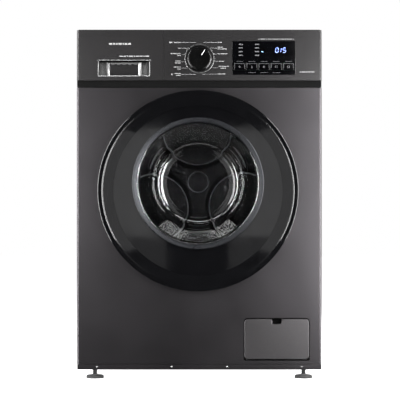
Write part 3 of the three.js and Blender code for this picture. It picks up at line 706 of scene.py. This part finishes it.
def make_drum():
    """The stainless drum: a perforated wall, a rolled front lip and a pressed back with three lobes."""
    count = 2 * HOLE_COLUMNS
    vertices, faces, rims, (front_end, back_end) = drum_wall(INNER * MM)
    shift = len(vertices)
    add_shape(vertices, faces, *drum_wall(OUTER * MM)[:2])
    for rim in rims:
        for k in range(HOLE_SIDES):
            n = (k + 1) % HOLE_SIDES
            faces.append((rim + k, rim + n, rim + n + shift, rim + k + shift))

    def ring(radius, y, lift=0.0):
        """Adds one ring of points and gives their numbers."""
        start = len(vertices)
        for x, z in circle(radius, count):
            vertices.append((DRUM[0] + x, y + lift * pressed(x, z), DRUM[1] + z))
        return list(range(start, start + count))

    def join_rings(rings):
        for a, b in zip(rings, rings[1:]):
            for i in range(count):
                n = (i + 1) % count
                faces.append((a[i], a[n], b[n], b[i]))

    # The lip and both sheets of the back all start from the inner skin's end rings.
    lip = fillet([(INNER, 15), (INNER, 6.5), (227, 1.4), (157, 5.2), (154.2, 8), (153.2, 6.6), (156.4, 3.8),
                  (227, 0.1), (OUTER, 6), (OUTER, 15)], 3, 3)[1:-1]
    join_rings([front_end] + [ring(r, y) for r, y in behind(DRUM_FRONT, lip)] + [front_end])
    inside = [(INNER, -9), (231.5, -4.5), (226, -1.8)]
    outside = [(OUTER, -8.5), (232.2, -3.6), (226.4, -0.6)]
    for bend, sheet in ((inside, -1.6), (outside, -0.6)):
        hub = sheet - 4.4
        flat = [(r, sheet) for r in range(216, 30, -5)] + [(28, sheet - 0.2)]
        line = bend + flat + [(27, hub + 1.2), (25.5, hub + 0.2), (24, hub), (4, hub)]
        rings = [back_end] + [ring(r, y, -LOBE_DEPTH) for r, y in behind(DRUM_BACK, line)]
        join_rings(rings)
        tip = len(vertices)
        vertices.append((DRUM[0], DRUM_BACK + hub * MM, DRUM[1]))
        faces.extend((rings[-1][i], rings[-1][(i + 1) % count], tip) for i in range(count))
    # The back and lip, and the perforated wall, take steel darkened to paint the shade inside the drum.
    piece = new_object("drum_visual", vertices, faces, "drum_steel", "drum_assembly", ["drum"])
    piece.data.materials.append(MATERIALS["wall_steel"])
    for face in piece.data.polygons:
        face.material_index = int(WALL_START < face.center.y < WALL_END)
    sharpen(piece, 40)


def make_ribs():
    """Fine rolled ribs on the drum's back: round each lobe and the hub, and two arcs between the lobes. Their
    steel is a far paler copy of the drum's, a painted highlight.
    """
    vertices, faces = [], []
    sides, half = 8, 12
    circles = [(x, z, 85.5 * MM, DRUM_BACK - 8.8 * MM) for x, z in LOBES]
    circles.append((0, 0, 26.2 * MM, DRUM_BACK - 6.4 * MM))
    for x, z, radius, y in circles:
        centre = (DRUM[0] + x, DRUM[1] + z)
        loops = [ring_points(r, depth, 96, centre) for r, depth in circle(1.3 * MM, sides, radius, y)]
        add_shape(vertices, faces, *skin(loops))
    for lobe in LOBE_TURNS:
        for radius in (99 * MM, 121 * MM):
            middle, reach = lobe + TURN / 6, 31 * MM / radius
            loops = []
            for i in range(-half, half + 1):
                turn = middle + reach * i / half
                thick = 2 * MM * max(0.05, 1 - abs(i / half) ** 6)
                loops.append([(DRUM[0] + r * math.cos(turn), y, DRUM[1] + r * math.sin(turn))
                              for r, y in circle(thick, sides, radius, DRUM_BACK - 1.4 * MM)])
            add_shape(vertices, faces, *capped_skin(loops))
    # The pale rib steel paints highlights on the dark drum back.
    new_object("drum_back_ribs", vertices, faces, "rib_steel", "drum_assembly")


def make_lifter(number):
    """One paddle, with a rounded crest and swept ends."""
    name = "drum_lifter_%d" % number
    turn = TURN / 3 * (number - 1) - math.pi / 2
    start, length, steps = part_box(name)[0].y + 0.5 * MM, 235 * MM, 24
    flank = [(29, 0), (25, 3.5), (22.5, 14), (19, 26), (13, 36), (6, 40.8)]
    section = [(-across, up) for across, up in flank] + [(0, 42)] + flank[::-1]
    loops = []
    for k in range(steps + 1):
        swell = 0.35 + 0.65 * math.sin(math.pi * k / steps) ** 0.35
        loop = []
        for across, up in section:
            radial, side = (231.5 - up * swell) * MM, across * (0.45 + 0.55 * swell) * MM
            x = DRUM[0] + radial * math.cos(turn) - side * math.sin(turn)
            z = DRUM[1] + radial * math.sin(turn) + side * math.cos(turn)
            loop.append((x, start + length * k / steps, z))
        loops.append(loop)
    # The paddles take a darkened copy of the drum's steel, a painted shade.
    sharpen(new_object(name + "_visual", *capped_skin(loops), "paddle_steel", "drum_assembly", [name]), 50)


def make_gasket():
    """The folded grey bellows between the front panel and the tub."""
    front, centre = front_of("door_gasket"), axis_of("door_gasket")
    line = fillet([(185, 2.1), (181, 0.4), (172, 1.2), (170, 10.6), (160, 12.6), (158, 3.6), (154.2, 1.1),
                   (152.8, 4.6), (154, 17.6), (163, 21.6), (163, 27.6), (155, 31.1), (158, 33.2),
                   (184.5, 33.2), (184.8, 29.6), (167, 28.6), (167, 18.6), (176, 14.6), (176, 5.6),
                   (185, 4.6)], 2.2, 4)
    profile = behind(front, line)
    piece = turned("gasket_visual", profile, "grey_rubber", None, centre, ["door_gasket"], 192, 70)
    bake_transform(piece)


make_drum()
make_ribs()
for number in (1, 2, 3):
    make_lifter(number)
make_gasket()


# ---------------- printed marks, knob, display and keys

PRINT = 0.12 * MM          # thickness of printed marks
FASCIA_Y = front_of("control_fascia")
DRAWER_Y = front_of("drawer_front")
WINDOW_Y = front_of("display_window")
KNOB = axis_of("knob_ring")
KEY_NUMBERS = (1, 2, 3, 4, 5)


def marks(name, rows, front, material, body):
    """Printed bars, each (x0, x1, z, height) in millimetres, just proud of a face."""
    boxes = [(x0 * MM, x1 * MM, (z - h / 2) * MM, (z + h / 2) * MM, front - PRINT, PRINT + 0.05 * MM)
             for x0, x1, z, h in rows]
    blocks(name, boxes, material, body)


def dashes(x0, x1, z, height, pieces, gap=0.9):
    """A bar cut into short dashes of uneven length, for a line of print that says nothing."""
    sizes = [1 + 0.5 * math.sin(2.4 * k + x0) for k in range(pieces)]
    room = (x1 - x0) - gap * (pieces - 1)
    rows, x = [], x0
    for size in sizes:
        width = room * size / sum(sizes)
        rows.append((x, x + width, z, height))
        x += width + gap
    return rows


def make_programme_marks():
    """Two columns of plain programme marks with leader lines to the knob, and the other captions."""
    middle = KNOB[1] / MM
    # Each line of print is (start, end, height above the knob's middle, size, number of dashes).
    lines = [
        (-61.5, -45, 39, 2.2, 3), (-52, -45, 25, 2, 2), (-69.4, -45, 12, 2, 4), (-54, -45, 7.5, 2, 2),
        (-58, -45, -6, 2, 2), (-59, -45, -10.8, 2, 2), (-62, -45, -20.6, 2, 3), (-54, -45, -25.4, 2, 1),
        (-60, -45, -36.4, 2, 3), (-57, -45, -40.8, 2, 2), (44.5, 54.6, 39.2, 2.2, 2), (44.5, 58, 27.5, 2, 2),
        (44.5, 66.8, 23.2, 2, 3), (44.5, 68, 11.6, 2.2, 4), (47.4, 60, -6.8, 2.2, 2), (46.5, 71.6, -19, 2, 4),
        (52, 65, -23.6, 2, 2), (46.5, 62.7, -37.4, 2.2, 3),
    ]
    rows = [(-73, -66, middle + 39, 3.2), (-68.5, -64.5, middle - 38.5, 4)]
    for x0, x1, up, size, pieces in lines:
        rows += dashes(x0, x1, middle + up, size, pieces)
    marks("programme_marks", rows, FASCIA_Y, "print_white", "cabinet")
    leaders = [(-43.5, -8, 39), (-43.5, -25, 25), (-43.5, -34, 10), (-43.5, -36, -8), (-43.5, -31, -23),
               (-43.5, -8, -38.5), (11, 43, 39), (26, 43, 25.4), (35, 43, 11), (36.5, 45, -7),
               (32, 44, -22.4), (8, 45, -38)]
    rows = [(x0, x1, middle + up, 0.75) for x0, x1, up in leaders]
    marks("leader_lines", rows, FASCIA_Y, "print_grey", "cabinet")
    captions = dashes(143, 230, middle + 47.2, 1.5, 14, 1.4) + dashes(244, 280, middle - 32.8, 2.0, 5, 1.6)
    marks("caption_bars", captions, FASCIA_Y, "print_grey", "cabinet")
    badge = dashes(-219, -166, middle + 35.6, 4.6, 7, 2.0)
    marks("drawer_badge", badge, DRAWER_Y, "print_white", "drawer")
    caption = dashes(-194, -122, middle + 5.6, 2.4, 9, 1.6)
    marks("drawer_caption", caption, DRAWER_Y, "print_grey", "drawer")


def make_knob_ring():
    line = fillet([(33.6, 3.5), (33.8, 0.1), (36.0, 0.1), (36.2, 3.5)], 0.5)
    profile = behind(front_of("knob_ring"), line)
    turned("knob_ring_visual", profile, "ring_chrome", "cabinet", KNOB, ["knob_ring"], 128, 60)


def make_knob():
    """The programme knob: waisted black cap with a fine grip, and a white pointer line let into its face."""
    x, z = KNOB
    front, count = front_of("programme_knob"), 240
    base, face = 18.8, 0.6
    shape = fillet([(31.2, base), (31.2, 18.1), (28.4, 17.9), (27.7, 1.6), (27.2, 0.8), (25, face),
                    (0.6, face)], 0.4, 3)
    rings = [[(x, front + base * MM, z)]]
    for radius, depth in shape:
        grip = 0.28 if 3.1 < depth < 15.1 else 0
        rings.append(ring_points(ribbed(radius, grip, 60), front + depth * MM, count, KNOB))
    rings.append([(x, front + face * MM, z)])
    vertices, faces = skin(rings, closed_loop=False)
    sharpen(new_object("knob_visual", vertices, faces, "knob_black", "knob", ["programme_knob"]), 40)
    cos, sin = math.cos(math.radians(-33)), math.sin(math.radians(-33))
    corners = [(-0.75, 9.5), (0.75, 9.5), (0.75, 23.2), (-0.75, 23.2)]
    outline = [(x + (a * cos - b * sin) * MM, z + (a * sin + b * cos) * MM) for a, b in corners]
    slab("knob_pointer", outline, front + 0.35 * MM, front + 1.0 * MM, "pointer_white", "knob")


SEGMENTS = {"0": "abcdef", "1": "bc", "5": "acdfg"}


def bar_outline(x0, z0, x1, z1, thick):
    """The pointed bar of one display segment, flat or upright."""
    t = thick / 2
    if z0 == z1:
        return [(x0 + t, z0), (x0 + 2 * t, z0 + t), (x1 - 2 * t, z0 + t), (x1 - t, z0), (x1 - 2 * t, z0 - t),
                (x0 + 2 * t, z0 - t)]
    return [(x, z) for z, x in bar_outline(z0, x0, z1, x1, thick)]


def make_digits(left, bottom):
    """Seven segment digits, leaning slightly, that glow blue behind the window."""
    width, height, thick, lean = 6.4, 11.2, 1.3, 0.12
    strokes = {
        "a": (0, height, width, height), "g": (0, height / 2, width, height / 2), "d": (0, 0, width, 0),
        "f": (0, height / 2, 0, height), "b": (width, height / 2, width, height),
        "e": (0, 0, 0, height / 2), "c": (width, 0, width, height / 2),
    }
    vertices, faces = [], []
    for digit, start in (("0", 105.0), ("1", 111.4), ("5", 122.8)):
        for segment in SEGMENTS[digit]:
            outline = [((left + start + a + lean * b) * MM, (bottom + 54.2 + b) * MM)
                       for a, b in bar_outline(*strokes[segment], thick)]
            loops = [[(x, y, z) for x, z in outline] for y in (WINDOW_Y - PRINT, WINDOW_Y + 0.02 * MM)]
            add_shape(vertices, faces, *capped_skin(loops))
    new_object("display_digits", vertices, faces, "digit_blue", "cabinet", (), False)


def make_display():
    """What the flush black window shows: the digits, one lamp, dim legends and key captions."""
    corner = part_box("display_window")[0]
    left, bottom = corner.x / MM, corner.z / MM
    make_digits(left, bottom)
    marks("display_lamp", [(left + 71, left + 75.4, bottom + 56.1, 1.1)], WINDOW_Y, "led_white", "cabinet")
    rows = []
    for up in (74.1, 65.4, 56.4, 47.4):
        for start, end in ((16, 25.5), (55.5, 65.5)):
            rows += dashes(left + start, left + end, bottom + up, 2.6, 2, 0.7)
    marks("display_legends", rows, WINDOW_Y, "print_dim", "cabinet")
    faint = []
    for key in KEY_NUMBERS:
        x = centre_of("key_%d" % key).x / MM
        faint += dashes(x - 8, x + 8, bottom + 32.4, 1.3, 4, 0.8)
        if key in KEY_NUMBERS[1:-1]:
            faint += dashes(x - 9, x + 9, bottom + 5.4, 1.3, 4, 0.8)
    marks("window_captions", faint, WINDOW_Y, "key_edge", "cabinet")


def key_sign(number, x, z):
    """Bars of the plain sign on one key, round its middle in millimetres."""
    signs = {
        1: [(-3, 3, 0, 0.9), (-0.45, 0.45, 0, 6)],
        2: [(-0.5, 0.5, 0, 7), (-2, 2, -2.6, 0.9)],
        3: [(-2.6, 2.6, up, 0.9) for up in (2, 0, -2)],
        4: [(-2.4, -1.4, 0, 5.4), (1.4, 2.4, 0, 5.4)],
        5: [(-2.8, 2.8, 2.3, 0.8), (-2.8, 2.8, -2.3, 0.8), (-2.8, -2, 0, 4), (2, 2.8, 0, 4)],
    }
    return [(x + x0, x + x1, z + up, height) for x0, x1, up, height in signs[number]]


def make_keys():
    """Five touch caps: black lenses with a painted highlight along the top and side edges, and a plain sign
    in the middle.
    """
    inset = 0.8
    for number in KEY_NUMBERS:
        node, body = "key_%d" % number, "key_%d_body" % number
        low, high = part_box(node)
        middle = (low + high) / (2 * MM)
        keep(node, "window_black", 0.5)
        left, right, top = low.x / MM + inset, high.x / MM - inset, high.z / MM - inset
        # A painted highlight along the cap's top and side edges; the bottom edge gets none.
        rim = [(left, right, top - 0.5, 1.0)]
        rim += [(x, x + 0.9, top - 6, 10) for x in (left, right - 0.9)]
        marks(node + "_rim", rim, low.y, "key_edge", body)
        marks(node + "_sign", key_sign(number, middle.x, middle.z - 0.6), low.y, "print_dim", body)


make_programme_marks()
make_knob_ring()
make_knob()
make_display()
make_keys()


# ---------------- drawer handle

def make_handle():
    """The drawer's finger recess. Its pieces share its left, right, bottom and top, in millimetres."""
    low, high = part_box("drawer_front")
    recess = (low.x / MM + 51.8, high.x / MM - 34.2, low.z / MM + 11, low.z / MM + 50.6)
    make_handle_frame(*recess)
    make_handle_liner(*recess)
    make_handle_grip(*recess)


def make_handle_frame(left, right, bottom, top):
    """Four thin satin bars round the recess."""
    bars = [
        (left - 0.3, left + 0.9, bottom - 0.2, top - 5.5),
        (right - 0.9, right + 0.3, bottom - 0.2, top - 5.5),
        (left - 0.3, right + 0.3, bottom - 0.9, bottom + 0.3),
        (left - 3.2, right + 2.6, top - 1.9, top - 1.0),
    ]
    boxes = [(a * MM, b * MM, c * MM, d * MM, DRAWER_Y - 0.25 * MM, 0.8 * MM) for a, b, c, d in bars]
    blocks("handle_frame", boxes, "handle_chrome", "drawer")


def make_handle_liner(left, right, bottom, top):
    """A thin matte wall that bends back at both ends of the recess, and two half round satin ribs on it, pale
    bars that paint the recess's two bright reflections as highlights.
    """
    radius, back, front, steps = 40.0, 26.3, 9.2, 16
    reach = math.acos(1 - (back - front) / radius)
    flat_left = left + 1.6 + radius * math.sin(reach)
    bend = [reach * (1 - k / steps) for k in range(steps + 1)]
    plan = [(flat_left - radius * math.sin(turn), back - radius * (1 - math.cos(turn))) for turn in bend]
    plan += [(left + right - x, depth) for x, depth in plan[::-1]]
    rear = [(x, depth + 0.5) for x, depth in plan]
    loops = [[(x * MM, DRAWER_Y + depth * MM, z * MM) for x, depth in plan + rear[::-1]]
             for z in (bottom + 0.15, top + 15.4)]
    vertices, faces = skin(loops, closed_loop=False)
    n = len(plan)
    for start in (0, 2 * n):
        end = start + 2 * n - 1
        faces += [(start + k, start + k + 1, end - 1 - k, end - k) for k in range(n - 1)]
    sharpen(new_object("handle_liner", vertices, faces, "handle_liner", "drawer"), 30)
    # Pale satin ribs set where the recess shows two bright reflections: painted highlights.
    for k, x in enumerate((left + 22.8, right - 24), 1):
        turns = [math.pi * i / steps for i in range(steps + 1)]
        bead = [(x - 4.8 * math.cos(turn), back - 4.6 * math.sin(turn)) for turn in turns]
        loops = [[(a * MM, DRAWER_Y + b * MM, z * MM) for a, b in bead] for z in (bottom + 0.2, top - 1.6)]
        sharpen(new_object("handle_highlight_rib_%d" % k, *capped_skin(loops), "handle_chrome", "drawer"), 40)


def make_handle_grip(left, right, bottom, top):
    """The scalloped finger lip and the dark hood behind it."""
    crest, pitch, scallops, steps = bottom + 32.3, 13.65, 5, 60
    first = left + 35.9
    start, length = first - 6.8, scallops * pitch
    edge = [(start + length - 0.2, crest), (start, crest)]
    for k in range(steps + 1):
        x = start + length * k / steps
        edge.append((x, crest - 2.5 - 2.8 * abs(math.cos(math.pi * (x - first) / pitch))))
    outline = [(x * MM, z * MM) for x, z in edge]
    slab("handle_scallops", outline, DRAWER_Y + 9.4 * MM, DRAWER_Y + 12.5 * MM, "lip_grey", "drawer")
    corners = [(left + 6, top - 0.4), (left + 6, top - 7), (right - 6, top - 7), (right - 6, top - 0.4)]
    outline = [(x * MM, z * MM) for x, z in corners]
    slab("handle_hood", outline, DRAWER_Y + 10.4 * MM, DRAWER_Y + 13 * MM, "dark_plastic", "drawer")


make_handle()


# ---------------- cabinet and the other kept parts

KEPT = {
    "side_paint": {"side_panel_left": 0.6, "side_panel_right": 0.6},
    "charcoal_paint": {"front_panel": 0.7, "plinth_strip": 0.5},
    "lid_board": {"top_cover": 1.2},
    "fascia_paint": {"control_fascia": 0.7, "drawer_front": 0.7},
    "zinc_sheet": {"rear_panel": 0.4, "rear_access_cover": 0.6, "base_pan": 0.4, "motor_pulley": 0.3},
    "dark_plastic": {"recess_strip": 0.4, "door_inner_frame": 0.8, "filter_recess": 0.6},
    "window_black": {"display_window": 0.25},
    "pale_plastic": {"drawer_tray": 0.5, "dispenser_housing": 0.5, "inlet_valve": 0.5, "door_lock": 0.5,
                     "filter_cap": 0.6},
    "blue_plastic": {"siphon_cap": 0.6},
    "grey_plastic": {"tub_front": 0.8, "tub_rear": 0.8, "drain_outlet": 0.5, "drain_pump": 0.7},
    "cast_alloy": {"door_hinge_arm": 0.6, "door_latch_hook": 0.3, "door_hinge_bracket": 0.5,
                   "drum_spider": 1.0, "drum_pulley": 0.8, "motor_housing": 1.0},
    "circuit_board": {"control_board": 0.2},
    "black_rubber": {"mains_gland": 0.5, "drive_belt": 0.4},
    "heater_steel": {"heater": 0.3},
    "concrete": {"counterweight": 1.5},
}


def keep_all():
    """Shows the CAD nodes of KEPT, each with the width of its softened edges in millimetres."""
    for material, widths in KEPT.items():
        for node, width in widths.items():
            keep(node, material, width)


def make_spring(node):
    """A wound tension spring in place of the plain bar, with its straight ends."""
    low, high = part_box(node)
    x, y, _ = (low + high) / 2
    radius, wire = (high.x - low.x) / 2 - 1.6 * MM, 1.5 * MM
    bottom, top = low.z + 22 * MM, high.z - 22 * MM
    turns, steps, sides = int((top - bottom) / (6.0 * MM)), 14, 7
    path = [Vector((x, y, low.z + wire)), Vector((x, y, bottom - 6 * MM))]
    for k in range(turns * steps + 1):
        turn, height = TURN * k / steps, (top - bottom) * k / (turns * steps)
        path.append(Vector((x + radius * math.cos(turn), y + radius * math.sin(turn), bottom + height)))
    path += [Vector((x, y, top + 6 * MM)), Vector((x, y, high.z - wire))]
    loops = []
    for before, point, after in zip(path[:1] + path, path, path[1:] + path[-1:]):
        ahead = (after - before).normalized()
        across = ahead.cross(Vector((0, 0.3, 1))).normalized()
        up = ahead.cross(across)
        loops.append([point + a * across + b * up for a, b in circle(wire, sides)])
    piece = new_object(node + "_visual", *capped_skin(loops), "screw_steel", None, [node])
    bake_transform(piece)


def make_damper(node):
    """A friction damper, as one piece: a ribbed lower tube on the base and the rod above it."""
    low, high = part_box(node)
    x, y, length = *((low + high) / 2)[:2], (high.z - low.z) / MM
    tube, steps = 136.4, 12
    line = [(0.4, 0), (11.5, 0), (12.6, 1.2)]
    for z in range(12, 52, 8):
        line += [(12.6, z), (11.6, z + 1), (11.6, z + 3), (12.6, z + 4)]
    line += [(12.6, tube - 5), (11.4, tube - 3.6), (8, tube - 3), (7.4, tube - 0.6), (5.9, tube)]
    line += [(5.9, tube + (length - 1 - tube) * k / steps) for k in range(1, steps + 1)]
    line += [(5.2, length), (0.4, length)]
    loops = [[(a, b, low.z + z * MM) for a, b in circle(radius * MM, 40, x, y)] for radius, z in line]
    piece = new_object(node + "_visual", *capped_skin(loops), "grey_plastic", None, [node])
    sharpen(piece, 40)
    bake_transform(piece)


def make_foot(number):
    """A levelling foot: ribbed rubber pad, neck and fine thread."""
    node, body = "foot_%d" % number, "foot_%d_body" % number
    low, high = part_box(node)
    x, y, _ = (low + high) / 2
    line = [(0.4, 1.2), (16, 1.2), (17, 0.2)]
    line += fillet([(17.5, 0.2), (20.8, 0.2), (21.9, 2), (21.4, 7.4), (18.5, 9.4), (9, 10.6), (8.2, 11.2)],
                   1.2, 3)
    line.append((6, 11.4))
    for thread in range(10):
        z = 11.6 + 1.25 * thread
        line += [(4.9, z), (5.6, z + 0.5), (4.9, z + 1)]
    rings = []
    for radius, z in line:
        ribs = 0.45 if 2.2 < z < 7.6 and radius > 19 else 0
        rings.append([(a, b, low.z + z * MM) for a, b in circle(ribbed(radius, ribs, 24), 120, x, y)])
    sharpen(new_object(node + "_visual", *capped_skin(rings), "black_rubber", body, [node]), 45)


def screw(name, x, z, y, radius, facing, material="screw_steel"):
    """A pan head screw with a cross slot, facing the front (-1) or the back (+1)."""
    count, rings = 32, []
    for r, out in ((1.0, 0.0), (0.98, 0.32), (0.8, 0.5), (0.45, 0.58), (0.3, 0.5)):
        ring = []
        for i in range(count):
            turn = TURN * i / count
            slot = 0.35 if r < 0.5 and abs(math.sin(2 * turn)) < 0.5 else 0
            ring.append((x + r * radius * math.cos(turn), y + facing * (out - slot) * radius,
                         z + r * radius * math.sin(turn)))
        rings.append(ring)
    sharpen(new_object(name, *capped_skin(rings), material, "cabinet"), 50)


def make_screws():
    """Screws along the plinth, and round the back panel and its access cover."""
    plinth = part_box("plinth_strip")[0]
    for k, x in enumerate((-248.6, -67.3, 68.0, 249.4), 1):
        screw("plinth_screw_%d" % k, x * MM, plinth.z + 7 * MM, plinth.y, 2.3 * MM, -1, "dull_steel")
    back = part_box("rear_panel")[1].y
    places = [(x, z) for x in (-272, 272) for z in (60, 210, 400, 580, 760, 822)]
    places += [(-160, 822), (0, 822), (160, 822), (-180, 36), (180, 36)]
    for k, (x, z) in enumerate(places, 1):
        screw("rear_screw_%d" % k, x * MM, z * MM, back, 4.0 * MM, 1)
    flange = front_of("rear_access_cover") + 1.2 * MM
    middle = centre_of("rear_access_cover").z
    places = [(x, up) for x in (-192, 192) for up in (-145, 0, 145)]
    places += [(x, up) for up in (217.5, -217.5) for x in (-90, 90)]
    for k, (x, up) in enumerate(places, 1):
        screw("cover_screw_%d" % k, x * MM, middle + up * MM, flange, 3.6 * MM, 1)


def make_transit_caps():
    """Four grey plugs over the transit bolt holes in the back."""
    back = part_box("rear_panel")[1].y
    line = [(1, 0.1)] + fillet([(16.5, 0.1), (16.5, 2.2), (13, 3.9), (6, 4.2), (1, 4.2)], 1.0)
    places = [(x * MM, z * MM) for z in (590, 400) for x in (-236, 236)]
    for k, place in enumerate(places, 1):
        turned("transit_cap_%d" % k, behind(back, line), "grey_plastic", "cabinet", place, (), 64, 40)


CORNER_STEPS = 8


def rounded_outline(left, bottom, right, top, corner):
    """Points round a rectangle with round corners, counterclockwise from its upper right."""
    points = []
    centres = [(right - corner, top - corner), (left + corner, top - corner),
               (left + corner, bottom + corner), (right - corner, bottom + corner)]
    for quarter, (x, z) in enumerate(centres):
        for i in range(CORNER_STEPS + 1):
            turn = math.pi / 2 * (quarter + i / CORNER_STEPS)
            points.append((x + corner * math.cos(turn), z + corner * math.sin(turn)))
    return points


def make_flap():
    """The filter flap: a slightly pillowed door with a finger notch, in a dark gap, on two lugs."""
    low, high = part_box("filter_flap")
    gap, corner = 1.5, 9.0
    left, right = low.x / MM + gap, high.x / MM - gap
    bottom, top = low.z / MM + gap * 0.6, high.z / MM - gap
    notch_left, notch_right, notch_bottom = left + 66.9, left + 90.4, top - 12.3
    soft, bends = 2.0, [math.pi / 2 * k / 6 for k in range(7)]

    def outline(shrink):
        """The flap's edge, drawn in a little, with the notch after the upper right corner."""
        a, b, c = notch_right + shrink, notch_left - shrink, notch_bottom - shrink
        edge = rounded_outline(left + shrink, bottom + shrink, right - shrink, top - shrink, corner - shrink)
        down = [(a - soft * (1 - math.cos(turn)), c + soft * (1 - math.sin(turn))) for turn in bends[1:]]
        up = [(b + soft * (1 - math.sin(turn)), c + soft * (1 - math.cos(turn))) for turn in bends[:-1]]
        notch = [(a, top - shrink)] + down + up + [(b, top - shrink)]
        return edge[:CORNER_STEPS + 1] + notch + edge[CORNER_STEPS + 1:]

    loops = []
    for shrink, depth in ((0.0, 2.1), (0.0, 1.1), (0.25, 0.5), (0.7, 0.14), (1.3, 0)):
        loops.append([(x * MM, low.y + depth * MM, z * MM) for x, z in outline(shrink)])
    even_out(new_object("flap_visual", *capped_skin(loops), "flap_paint", "flap", ["filter_flap"]))
    for k, x in enumerate((low.x + 11.4 * MM, high.x - 12.1 * MM), 1):
        box = (x - 6 * MM, x + 6 * MM, low.z + 0.2 * MM, low.z + 4.2 * MM, low.y + 1.9 * MM, 2.4 * MM)
        soften(blocks("flap_lug_%d" % k, [box], "flap_paint", "flap"), 0.4)


keep_all()
make_flap()
for spring_node in ("spring_left", "spring_right"):
    make_spring(spring_node)
for damper_node in ("damper_left", "damper_right"):
    make_damper(damper_node)
for number in (1, 2, 3, 4):
    make_foot(number)
make_screws()
make_transit_caps()
